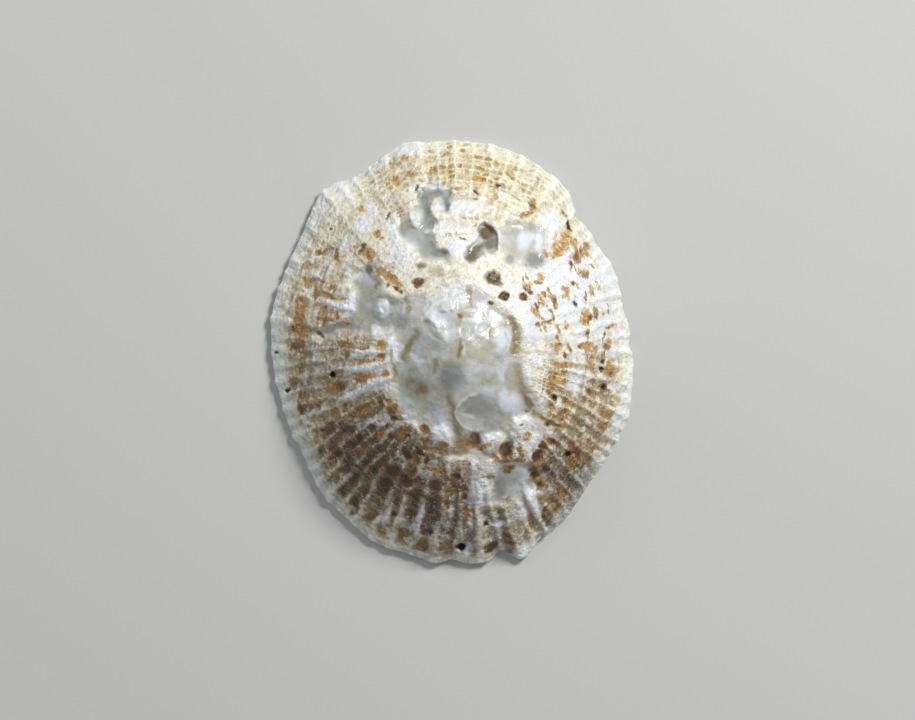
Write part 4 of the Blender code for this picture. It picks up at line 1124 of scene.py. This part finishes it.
def make_shell():
    points, faces, side, bearing, share, skin, fields = build_net()
    mesh = bpy.data.meshes.new("limpet_shell")
    mesh.from_pydata((points * MM).tolist(), [], [tuple(int(i) for i in face) for face in faces])
    mesh.polygons.foreach_set("material_index", np.array(side, np.int32))
    x, y = points[:, 0], points[:, 1]
    turn, growth = grown(bearing, share, x, y)
    for name, values in {"turn": turn, "growth": growth, "skin": skin, **fields}.items():
        store(mesh, name, values)
    unwrap(mesh, turn, growth)
    mesh.shade_smooth()
    shell = bpy.data.objects.new("limpet_shell", mesh)
    add_to_scene(shell)
    return shell


shell = make_shell()
print("net of", len(shell.data.vertices), "points and", len(shell.data.polygons), "faces")

# %% [markdown]
# ## Helpers for node trees
#
# Ribs, threads and colours are all sums and curves of a few fields. A few small helpers keep such trees
# readable: they join a value or a socket to an input, do arithmetic, map a range smoothly, and make soft
# random lumps. Each finds the tree that it works in from the sockets that it is given.

# %% Write the node helpers
def tree_of(values):
    return next(value.id_data for value in values if isinstance(value, bpy.types.NodeSocket))


def join(source, socket):
    if isinstance(source, bpy.types.NodeSocket):
        socket.id_data.links.new(source, socket)
    else:
        socket.default_value = source


def compute(operation, *values):
    node = tree_of(values).nodes.new("ShaderNodeMath")
    node.operation = operation
    for value, socket in zip(values, node.inputs):
        join(value, socket)
    return node.outputs[0]


def plus(first, second):
    return compute("ADD", first, second)


def less(value, taken):
    return compute("SUBTRACT", value, taken)


def times(*values):
    product = values[0]
    for value in values[1:]:
        product = compute("MULTIPLY", product, value)
    return product


def scaled(value, by, start):
    """A value, so many times as large, counted on from a start."""
    return compute("MULTIPLY_ADD", value, by, start)


def rise(value, low, high):
    """0 below low, 1 above high, and a smooth rise between. It falls where low is the larger of the two."""
    node = tree_of([value]).nodes.new("ShaderNodeMapRange")
    node.interpolation_type = "SMOOTHSTEP"
    for source, label in ((value, "Value"), (low, "From Min"), (high, "From Max")):
        join(source, node.inputs[label])
    return node.outputs["Result"]


def vector(*parts):
    node = tree_of(parts).nodes.new("ShaderNodeCombineXYZ")
    for part, socket in zip(parts, node.inputs):
        join(part, socket)
    return node.outputs[0]


def scatter(place, scale, detail, roughness=0.5):
    node = tree_of([place]).nodes.new("ShaderNodeTexNoise")
    for source, label in ((place, "Vector"), (scale, "Scale"), (detail, "Detail"), (roughness, "Roughness")):
        join(source, node.inputs[label])
    return node.outputs["Fac"]


def lumps(place, width, detail=3.0, roughness=0.5):
    """Soft random values of 0 to 1, in lumps about as wide as given in millimetres."""
    return scatter(place, 1 / (width * MM), detail, roughness)


def centred(value, spread):
    """A random value of 0 to 1 as one around zero."""
    return times(less(value, 0.5), spread)


# %% [markdown]
# ## Ribs and threads with Geometry Nodes
#
# Ribs and growth threads repeat by rule, so a node tree raises them. The rib's height is a wave in the
# turn round the apex, and the thread's is a wave in the growth. Both fade where the outer layer is gone,
# because the tree reads the field "kept". Ledges mark winters: the old edge overhangs the next year's
# lime. The inputs are named, so the same tree would raise another shell's ribs with other numbers.

# %% Name what the relief tree can be asked for
RELIEF_INPUTS = {
    "Ribs": float(RIBS),
    "Rib Height": 0.024 * MM,
    "Ribs Begin": 0.15,
    "Second Ribs Begin": 0.42,
    "Bead Height": 0.007 * MM,
    "Threads": 30.0,
    "Thread Height": 0.006 * MM,
    "Ledge Height": 0.055 * MM,
    "Grain Height": 0.038 * MM,
    "Seed": 7.0,
}
RIBS_GROW_OVER = 0.25  # the share of the way out from a rib's start to its full height
SECOND_RIBS_GROW_OVER = 0.30
LEDGE_SHARES = (0.47, 0.60, 0.695, 0.785, 0.905)
LEDGE_RUN = 0.045  # the share of the way out over which a ledge swells towards its lip
LEDGE_WANDER = 0.06  # the share of the way out that a ledge strays over
RELIEF_UNIT = 0.04 * MM  # the height that the field "relief" calls 1

print("relief inputs:", ", ".join(RELIEF_INPUTS))


# %% Raise ribs, threads, ledges and grain
def field(tree, name):
    node = tree.nodes.new("GeometryNodeInputNamedAttribute")
    node.data_type = "FLOAT"
    node.inputs["Name"].default_value = name
    return node.outputs["Attribute"]


def moved(place, by):
    node = tree_of([place]).nodes.new("ShaderNodeVectorMath")
    node.operation = "ADD"
    join(place, node.inputs[0])
    join(by, node.inputs[1])
    return node.outputs[0]


def rib_relief(given, place, turn, growth, vigour):
    """The ribs' height, where their crests are, and how far the second set of ribs has grown."""
    phase = times(turn, given["Ribs"])
    every = compute("COSINE", times(phase, math.tau))
    every_other = compute("COSINE", times(phase, math.tau / 2))
    first = rise(growth, given["Ribs Begin"], plus(given["Ribs Begin"], RIBS_GROW_OVER))
    second = rise(growth, given["Second Ribs Begin"], plus(given["Second Ribs Begin"], SECOND_RIBS_GROW_OVER))
    wave = scaled(every, second, times(every_other, first, 0.7))
    worn = rise(lumps(moved(place, times(given["Seed"], MM)), 0.75, 2.0), 0.28, 0.68)
    height = times(wave, scaled(worn, 1.5, 0.15), given["Rib Height"], vigour)
    return height, scaled(every, 0.5, 0.5), second


def thread_relief(given, place, growth, vigour, crest, second):
    """Threads in the gaps between the ribs, and beads where threads cross the ribs."""
    beat = times(growth, given["Threads"], math.tau)
    threads = times(compute("SINE", beat), scaled(crest, -0.6, 1.0), given["Thread Height"])
    beads = times(crest, compute("SINE", times(beat, 0.6)), second)
    threads = scaled(beads, given["Bead Height"], threads)
    return times(threads, rise(lumps(place, 0.35, 2.0), 0.35, 0.62), scaled(vigour, 0.7, 0.3))


def ledge_relief(given, turn, growth):
    """Each ledge swells outwards to a lip and drops there. It strays in and out, and it fades in places."""
    around = times(turn, math.tau)
    around = vector(compute("COSINE", around), compute("SINE", around))
    ledges = 0.0
    for number, share in enumerate(LEDGE_SHARES):
        strength = scatter(moved(around, (0.0, 0.0, 3.1 * number)), 1.6, 2.0)
        behind = less(growth, scaled(strength, LEDGE_WANDER, share - LEDGE_WANDER / 2))
        lip = compute("POWER", math.e, compute("DIVIDE", behind, LEDGE_RUN))
        before = less(1.0, rise(behind, -0.002, 0.004))
        ledges = plus(ledges, times(lip, before, rise(strength, 0.38, 0.62)))
    return times(ledges, given["Ledge Height"])


def total_relief(tree, given):
    names = ("turn", "growth", "kept", "skin", "vigour")
    turn, growth, kept, skin, vigour = (field(tree, name) for name in names)
    place = tree.nodes.new("GeometryNodeInputPosition").outputs[0]
    ribs, crest, second = rib_relief(given, place, turn, growth, vigour)
    threads = thread_relief(given, place, growth, vigour, crest, second)
    layered_relief = plus(plus(ribs, threads), ledge_relief(given, turn, growth))
    grain = times(less(lumps(place, 0.24, 4.0, 0.62), 0.5), given["Grain Height"], 2.0)
    grain = times(grain, scaled(kept, 0.75, 0.25), skin)
    return scaled(layered_relief, rise(kept, 0.45, 1.0), grain)


print("ledges at", LEDGE_SHARES, "of the way out")


# %% Put the relief tree together
def set_materials(tree, geometry, materials):
    """Gives each face the material of its own index."""
    index = tree.nodes.new("GeometryNodeInputMaterialIndex").outputs[0]
    for slot, material in enumerate(materials):
        finish = tree.nodes.new("GeometryNodeSetMaterial")
        join(geometry, finish.inputs["Geometry"])
        chosen = tree.nodes.new("FunctionNodeCompare")
        chosen.data_type, chosen.operation = "INT", "EQUAL"
        join(index, chosen.inputs["A"])
        chosen.inputs["B"].default_value = slot
        join(chosen.outputs[0], finish.inputs["Selection"])
        finish.inputs["Material"].default_value = material
        geometry = finish.outputs[0]
    return geometry


def relief_tree(materials):
    tree = bpy.data.node_groups.new("ribs_and_threads", "GeometryNodeTree")
    for way in ("INPUT", "OUTPUT"):
        tree.interface.new_socket("Geometry", in_out=way, socket_type="NodeSocketGeometry")
    for name, value in RELIEF_INPUTS.items():
        tree.interface.new_socket(name, in_out="INPUT", socket_type="NodeSocketFloat").default_value = value
    given = tree.nodes.new("NodeGroupInput").outputs
    total = total_relief(tree, given)
    push = tree.nodes.new("ShaderNodeVectorMath")
    push.operation = "SCALE"
    join(tree.nodes.new("GeometryNodeInputNormal").outputs[0], push.inputs[0])
    join(total, push.inputs["Scale"])
    move = tree.nodes.new("GeometryNodeSetPosition")
    join(given["Geometry"], move.inputs["Geometry"])
    join(push.outputs[0], move.inputs["Offset"])
    # The relief is kept on the points as the field relief; the colour reads it for painted shade in its
    # hollows and a painted highlight on its heights
    keep = tree.nodes.new("GeometryNodeStoreNamedAttribute")
    keep.data_type, keep.domain = "FLOAT", "POINT"
    keep.inputs["Name"].default_value = "relief"
    join(move.outputs[0], keep.inputs["Geometry"])
    join(compute("DIVIDE", total, RELIEF_UNIT), keep.inputs["Value"])
    realize = tree.nodes.new("GeometryNodeRealizeInstances")
    join(keep.outputs[0], realize.inputs[0])
    geometry = set_materials(tree, realize.outputs[0], materials)
    join(geometry, tree.nodes.new("NodeGroupOutput").inputs[0])
    return tree


print("the relief counts its heights in", round(RELIEF_UNIT / MM, 3), "mm")

# %% [markdown]
# ## Shader groups
#
# Two effects show on both the outside and the inside, where the shell's growth shines faintly through the
# wall: a net of small cells between the ribs and threads, and the fine growth lines. Each is a group with
# named inputs. Both read the shell's own map, so they follow its growth on every side. A group puts out
# masks and values only, and each material decides on their colours.


# %% Draw the net and the growth lines
def new_group(name, inputs, outputs):
    group = bpy.data.node_groups.new(name, "ShaderNodeTree")
    for label, value in inputs.items():
        group.interface.new_socket(label, in_out="INPUT", socket_type="NodeSocketFloat").default_value = value
    for label in outputs:
        group.interface.new_socket(label, in_out="OUTPUT", socket_type="NodeSocketFloat")
    return group, group.nodes.new("NodeGroupInput").outputs, group.nodes.new("NodeGroupOutput").inputs


def growth_map(tree):
    """(turn round the apex, share of the way out) from the shell's own map."""
    uv = tree.nodes.new("ShaderNodeUVMap")
    uv.uv_map = "growth_map"
    parts = tree.nodes.new("ShaderNodeSeparateXYZ")
    join(uv.outputs[0], parts.inputs[0])
    return parts.outputs[0], parts.outputs[1]


def object_place(tree):
    return tree.nodes.new("ShaderNodeTexCoord").outputs["Object"]


def net_group():
    """Cells between ribs and threads: how near a place is to its cell's middle, and two random values."""
    inputs = {"Columns": 144.0, "Rows": 36.0}
    group, given, put = new_group("growth_net", inputs, ("Middle", "Roll", "Second Roll"))
    turn, growth = growth_map(group)
    place = object_place(group)
    phase = scaled(turn, given["Columns"], centred(lumps(place, 0.20, 2.0), 0.9))
    rows = scaled(growth, given["Rows"], centred(lumps(place, 0.24, 2.0), 1.1))
    column = compute("FLOORED_MODULO", compute("FLOOR", phase), given["Columns"])
    dice = group.nodes.new("ShaderNodeTexWhiteNoise")
    dice.noise_dimensions = "3D"
    join(vector(column, compute("FLOOR", rows), 3.0), dice.inputs["Vector"])
    rolls = group.nodes.new("ShaderNodeSeparateColor")
    join(dice.outputs["Color"], rolls.inputs[0])
    near_side = rise(compute("PINGPONG", phase, 0.5), 0.02, 0.30)
    near_end = rise(compute("PINGPONG", rows, 0.5), 0.02, 0.34)
    join(times(near_side, near_end), put["Middle"])
    join(rolls.outputs[0], put["Roll"])
    join(rolls.outputs[1], put["Second Roll"])
    return group


def thread_group():
    """Growth threads: their height, the dark lines along them, and how near a place is to a rib's crest."""
    inputs = {"Threads": 50.0, "Grain": 0.5}
    group, given, put = new_group("growth_threads", inputs, ("Height", "Line", "Crest"))
    turn, growth = growth_map(group)
    place = object_place(group)
    beat = scaled(growth, given["Threads"], centred(lumps(place, 0.30), 1.2))
    wave = scaled(compute("SINE", times(beat, math.tau)), 0.5, 0.5)
    strength = rise(lumps(place, 0.22, 2.0), 0.40, 0.62)
    fine = lumps(place, 0.06, 3.0, 0.6)
    join(scaled(fine, given["Grain"], times(wave, strength, 0.4)), put["Height"])
    join(times(rise(wave, 0.45, 0.95), strength), put["Line"])
    from_crest = compute("PINGPONG", times(turn, float(RIBS)), 0.5)
    crest = plus(times(less(0.5, from_crest), 2.0), centred(lumps(place, 0.12), 1.4))
    join(rise(crest, 0.55, 1.05), put["Crest"])
    return group


NET, THREADS = net_group(), thread_group()
print("groups:", NET.name, "and", THREADS.name)

# %% [markdown]
# ## The outside
#
# The outer layer is cream, whiter on the ribs, with the brown laid between them. Bare patches show the
# glassy inner layer: grey-beige, smoother and shinier. The colour is built up the way the shell is, one
# layer over another, and each layer's mask is one of the fields kept on the points, roughened by noise.
# Light sinks a little way into lime, so a small amount of subsurface scattering softens the shading.


# %% Mix the colours
def colour(red, green, blue):
    """A screen colour of 0 to 255 a channel as the linear colour that a shader expects."""
    parts = [part / 255 for part in (red, green, blue)]
    return (*[part / 12.92 if part <= 0.04045 else ((part + 0.055) / 1.055) ** 2.4 for part in parts], 1.0)


CREAM = colour(234, 227, 200)
LILAC_GREY = colour(168, 168, 168)
CLOUDY_LILAC = colour(220, 224, 226)
OCHRE_TINT = colour(212, 192, 146)
RIB_WHITE = colour(246, 248, 242)
SNOW_WHITE = colour(248, 251, 254)
ICE_LILAC = colour(200, 212, 238)
STRAW_YELLOW = colour(238, 224, 168)
TAN_GOLD = colour(172, 142, 86)
DULL_OLIVE = colour(92, 76, 46)
DULL_LILAC = colour(148, 138, 122)
# Painted shade, laid where the relief sinks
RELIEF_SHADE = colour(100, 82, 54)
CREST_TAN = colour(184, 174, 140)
STAIN_TAN = colour(188, 164, 114)
MARGIN_BLUE = colour(232, 240, 242)
STAIN_GOLD = colour(230, 200, 142)
STREAK_GOLD = colour(224, 184, 112)
SOAK_BROWN = colour(58, 41, 20)
OLIVE_BROWN = colour(116, 96, 50)
ORANGE_BROWN = colour(180, 128, 68)
DEEP_BROWN = colour(116, 74, 42)
DARK_BROWN = colour(58, 36, 16)
GLASS_BEIGE = colour(186, 183, 168)
GLASS_BLUE = colour(204, 211, 220)
GLASS_OLIVE = colour(146, 139, 114)
GREEN_GREY = colour(156, 166, 158)
MILK_WHITE = colour(222, 229, 238)
SMOKE_GREY = colour(138, 140, 138)
MOSS_OLIVE = colour(112, 106, 78)
AMBER_BROWN = colour(150, 112, 66)
GROOVE_OLIVE = colour(146, 132, 94)
PIT_OLIVE = colour(120, 102, 58)
PIT_DARK = colour(74, 54, 22)
# Painted shade for the small deep holes
PINHOLE_SHADE = colour(20, 14, 8)
PORCELAIN = colour(232, 230, 224)
PORCELAIN_GREY = colour(206, 208, 206)
ROOF_TAN = colour(176, 150, 112)
SHINING_BROWN = colour(150, 112, 74)

print("cream as linear red, green and blue:", [round(part, 3) for part in CREAM[:3]])


# %% Lay one colour over another
def attribute(tree, name):
    node = tree.nodes.new("ShaderNodeAttribute")
    node.attribute_name = name
    return node.outputs["Fac"]


def over(under, top, share):
    """One colour laid over another by a share."""
    node = tree_of([share]).nodes.new("ShaderNodeMix")
    node.data_type = "RGBA"
    join(share, node.inputs["Factor"])
    join(under, node.inputs[6])
    join(top, node.inputs[7])
    return node.outputs[2]


def layered(base, *layers):
    """Several colours laid one over another, each by its own share."""
    for paint, share in layers:
        base = over(base, paint, share)
    return base


def stained(under, pigment, share):
    """One colour soaking into another: it darkens what lies under it, as pigment in lime does."""
    painted = over(under, pigment, share)
    painted.node.blend_type = "MULTIPLY"
    return painted


print("the net has", len(NET.interface.items_tree), "named sockets")


# %% Paint the ground of the outer layer
def ground_colour(tree, net, threads):
    """The outer layer without its brown: each small cell has its own tint, between paler ribs and threads.
    Painted shade darkens the hollows of the relief, a painted highlight whitens its heights, and the dull
    lower part is darker partly as painted shade.
    """
    place = object_place(tree)
    broad, mottle, cloudy, cloud = (lumps(place, width) for width in (0.55, 0.20, 0.32, 0.28))
    straw, dull, wash, relief = (attribute(tree, name) for name in ("straw", "dull", "wash", "relief"))
    cell, wall = net["Middle"], less(1.0, net["Middle"])
    tinted_cell = scaled(straw, 0.65, 0.35)
    ground = layered(
        CREAM,
        (LILAC_GREY, times(cell, rise(net["Roll"], 0.60, 0.35), tinted_cell)),
        (OCHRE_TINT, times(cell, rise(net["Roll"], 0.75, 0.90), tinted_cell)),
        (LILAC_GREY, times(rise(broad, 0.48, 0.70), 0.25)),
        (CLOUDY_LILAC, times(rise(cloudy, 0.46, 0.64), 0.45)),
        (STRAW_YELLOW, times(straw, scaled(wall, 0.7, 0.25))),
        (TAN_GOLD, times(straw, cell, rise(net["Second Roll"], 0.50, 0.70), 0.9)),
    )
    gap = less(1.0, threads["Crest"])
    # Over the dull lower part: olive, lilac and brown in the gaps, partly its own colour and partly painted
    # shade
    dull_and_shade = layered(
        DULL_OLIVE,
        (DULL_LILAC, rise(mottle, 0.44, 0.64)),
        (SOAK_BROWN, times(rise(lumps(place, 0.24), 0.42, 0.62), gap, 0.85)),
    )
    # In the dull lower part the crests turn tan and the whites weaken, partly as painted shade
    crest = times(threads["Crest"], rise(broad, 0.20, 0.60), rise(growth_map(tree)[1], 0.30, 0.55), 0.7)
    crest_white = over(RIB_WHITE, CREST_TAN, times(dull, rise(mottle, 0.66, 0.36)))
    less_dull, whiter = scaled(dull, -0.6, 1.0), scaled(straw, -0.7, 1.0)
    pearly = rise(lumps(place, 0.26, 2.0), 0.52, 0.66)
    ground = layered(
        ground,
        (dull_and_shade, times(dull, 0.92)),
        (crest_white, times(crest, attribute(tree, "vigour"), scaled(dull, -0.3, 1.0))),
        (RIB_WHITE, times(wall, rise(mottle, 0.38, 0.62), 0.50, less_dull, whiter)),
        # Painted shade where the relief sinks, deepest in the dull lower part, then a painted highlight where
        # it stands up
        (RELIEF_SHADE, times(rise(relief, 0.1, -1.1), scaled(dull, 0.35, 0.35))),
        (RIB_WHITE, times(rise(relief, 0.2, 1.3), 0.5, less_dull)),
        (SNOW_WHITE, times(pearly, less_dull, whiter, 0.5)),
    )
    blotchy = rise(scaled(wash, 0.12, cloud), 0.46, 0.64)
    return stained(ground, STAIN_TAN, times(wash, blotchy, scaled(crest, -1.0, 1.0)))


print("cells a turn:", RIBS * 2)


# %% Paint the glassy layer and its tints
def glass_colour(tree):
    """The smooth inner layer of the bare patches."""
    place = object_place(tree)
    return layered(
        GLASS_BEIGE,
        (GLASS_BLUE, times(rise(lumps(place, 0.50), 0.40, 0.62), 0.7)),
        (GLASS_OLIVE, times(rise(lumps(place, 0.28, 4.0, 0.6), 0.48, 0.66), 0.45)),
        (GREEN_GREY, times(attribute(tree, "greenish"), 0.75)),
    )


# Field, colour, how much noise frays it, how thickly it covers
TINTS = (
    ("smoke", SMOKE_GREY, 0.7, 0.90),
    ("moss", MOSS_OLIVE, 0.7, 0.90),
    ("amber", AMBER_BROWN, 0.8, 0.85),
    ("milk", MILK_WHITE, 0.8, 0.90),
)


def tinted(tree, base):
    """White first, then the smoky, mossy, amber and milky patches."""
    place = object_place(tree)
    mottle, fine = lumps(place, 0.20, 4.0, 0.6), lumps(place, 0.10, 3.0, 0.6)
    white = over(SNOW_WHITE, ICE_LILAC, times(rise(fine, 0.44, 0.60), 0.75))
    # Snow white, which at the upper right is partly a painted pool of light
    base = over(base, white, times(attribute(tree, "snow"), rise(mottle, 0.18, 0.50)))
    for name, paint, fray, most in TINTS:
        there = attribute(tree, name)
        amount = rise(plus(there, centred(mottle, fray)), 0.05, 0.95)
        base = over(base, paint, times(amount, rise(there, 0.0, 0.2), most))
    return base


print("tints in the glassy layer:", ", ".join(name for name, *_ in TINTS))


# %% Lay the brown, then the last marks
def brown_over(tree, ground, threads):
    """The brown in the gaps: golden at its soft edge, then orange or olive, and dark in the middle."""
    place = object_place(tree)
    fine, patchy = lumps(place, 0.085, 2.0), lumps(place, 0.20)
    inked = attribute(tree, "brown")
    deep = times(inked, scaled(patchy, 1.1, 0.45))
    deep = scaled(centred(fine, 0.8), rise(inked, 0.0, 0.5), deep)
    deep = less(deep, times(threads["Line"], 0.16))
    olive = rise(plus(attribute(tree, "olive"), centred(patchy, 0.9)), 0.2, 0.9)
    darkness = rise(plus(attribute(tree, "dark"), centred(patchy, 0.9)), 0.15, 0.90)
    streaks = rise(lumps(place, 0.075, 2.0), 0.48, 0.62)
    core = layered(
        ORANGE_BROWN,
        (DEEP_BROWN, darkness),
        (OLIVE_BROWN, times(olive, 0.8)),
        (STREAK_GOLD, times(streaks, less(1.0, darkness), 0.75)),
    )
    rim = times(rise(deep, 0.22, 0.38), rise(deep, 0.62, 0.40), rise(patchy, 0.45, 0.60), 0.6)
    return layered(
        stained(ground, STAIN_GOLD, rise(deep, 0.0, 0.60)),
        (core, times(rise(deep, 0.20, 0.90), 0.88)),
        (DEEP_BROWN, rim),
        (DARK_BROWN, times(darkness, rise(deep, 0.35, 1.05), 0.95)),
    )


def outside_colour(tree, net, threads):
    place = object_place(tree)
    patchy, speck = lumps(place, 0.28), lumps(place, 0.055, 2.0)
    skin = over(ground_colour(tree, net, threads), glass_colour(tree), attribute(tree, "bare"))
    skin = brown_over(tree, tinted(tree, skin), threads)
    rib_ends = scaled(threads["Crest"], 0.45, 0.55)
    clean = less(1.0, compute("MAXIMUM", attribute(tree, "brown"), attribute(tree, "bare")))
    pit = attribute(tree, "pit")
    hole = over(PIT_OLIVE, PIT_DARK, rise(plus(patchy, times(pit, 0.25)), 0.55, 0.85))
    return layered(
        skin,
        (MARGIN_BLUE, times(attribute(tree, "thin_margin"), rise(patchy, 0.25, 0.55), rib_ends)),
        (SNOW_WHITE, times(rise(speck, 0.54, 0.74), rise(clean, 0.1, 0.8), 0.4)),
        (GROOVE_OLIVE, times(attribute(tree, "groove"), 0.8)),
        (SNOW_WHITE, times(attribute(tree, "pale_edge"), 0.6)),
        (hole, rise(pit, 0.15, 1.1)),
        # Painted shade: each small deep hole is painted near black
        (PINHOLE_SHADE, attribute(tree, "pinhole")),
    )


print("layers of tint under the brown:", len(TINTS) + 1)


# %% Put the two materials together
def use(tree, group, **values):
    node = tree.nodes.new("ShaderNodeGroup")
    node.node_tree = group
    for label, value in values.items():
        join(value, node.inputs[label])
    return node.outputs


def blend(first, second, share):
    return scaled(less(second, first), share, first)


def emboss(tree, surface, height, depth):
    """Makes the light follow a fine relief that is so many millimetres deep."""
    bump = tree.nodes.new("ShaderNodeBump")
    bump.inputs["Distance"].default_value = depth * MM
    join(height, bump.inputs["Height"])
    join(bump.outputs["Normal"], surface["Normal"])


def outside_material():
    material, surface = new_material("ribbed_outside", {
        "Coat Roughness": 0.10,
        "IOR": 1.55,
        "Subsurface Weight": 0.30,
        "Subsurface Radius": (1.0, 0.8, 0.6),
        "Subsurface Scale": 0.20 * MM,
    })
    tree = material.node_tree
    fine_net, coarse_net = use(tree, NET, Columns=144.0, Rows=36.0), use(tree, NET, Columns=54.0, Rows=34.0)
    outer = rise(growth_map(tree)[1], 0.36, 0.46)
    net = {name: blend(coarse_net[name], fine_net[name], outer) for name in ("Middle", "Roll", "Second Roll")}
    threads = use(tree, THREADS, Threads=50.0, Grain=0.6)
    join(outside_colour(tree, net, threads), surface["Base Color"])
    bare, straw = attribute(tree, "bare"), attribute(tree, "straw")
    dry = scaled(attribute(tree, "pit"), -0.8, 1.0)
    join(scaled(bare, -0.06, 0.34), surface["Roughness"])
    join(times(scaled(bare, -0.05, 0.35), dry), surface["Coat Weight"])
    grain = lumps(object_place(tree), 0.13, 2.5)
    height = scaled(grain, 1.5, times(threads["Height"], scaled(straw, 0.75, 0.25)))
    height = plus(height, times(net["Middle"], straw, outer, -0.5))
    emboss(tree, surface, times(height, scaled(bare, -0.80, 1.0)), 0.045)
    return material


def inside_material():
    """The hollow is a guess: porcelain white, with the outside's brown showing through faintly."""
    material, surface = new_material("porcelain_inside", {
        "Roughness": 0.24,
        "Coat Weight": 0.4,
        "Coat Roughness": 0.1,
    })
    tree = material.node_tree
    growth = growth_map(tree)[1]
    net = use(tree, NET, Columns=72.0, Rows=9.0)
    threads = use(tree, THREADS, Threads=30.0, Grain=0.3)
    shining = times(net["Middle"], rise(net["Roll"], 0.45, 0.65), rise(growth, 0.55, 0.95), 0.5)
    base = layered(
        PORCELAIN,
        (PORCELAIN_GREY, rise(lumps(object_place(tree), 1.4), 0.35, 0.7)),
        (ROOF_TAN, times(rise(growth, 0.42, 0.30), 0.5)),
        (SHINING_BROWN, shining),
    )
    join(base, surface["Base Color"])
    emboss(tree, surface, threads["Height"], 0.006)
    return material


MATERIALS = [outside_material(), inside_material()]
print("materials:", ", ".join(material.name for material in MATERIALS))

# %% [markdown]
# ## Raise the relief and keep the result
#
# The tree goes on the shell as a modifier. Its result is then turned into a plain mesh, and the modifier
# is removed, so what is rendered is exactly what was made here.


# %% Run the relief tree
def set_input(modifier, name, value):
    """Sets a node modifier's input by its socket's identifier."""
    for item in modifier.node_group.interface.items_tree:
        if item.item_type == "SOCKET" and item.in_out == "INPUT" and item.name == name:
            modifier[item.identifier] = value


def raise_relief(piece):
    for material in MATERIALS:
        piece.data.materials.append(material)
    modifier = piece.modifiers.new("relief", "NODES")
    modifier.node_group = relief_tree(MATERIALS)
    for name, value in RELIEF_INPUTS.items():
        set_input(modifier, name, value)
    graph = bpy.context.evaluated_depsgraph_get()
    raised = piece.evaluated_get(graph)
    finished = bpy.data.meshes.new_from_object(raised, preserve_all_data_layers=True, depsgraph=graph)
    piece.modifiers.remove(modifier)
    piece.data = finished
    finished.name = piece.name


raise_relief(shell)
shell.data.calc_loop_triangles()
print("finished shell:", len(shell.data.loop_triangles), "triangles,", [m.name for m in shell.data.materials])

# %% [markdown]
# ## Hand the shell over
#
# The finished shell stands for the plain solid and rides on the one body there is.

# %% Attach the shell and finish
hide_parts("shell")
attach(shell, "root")
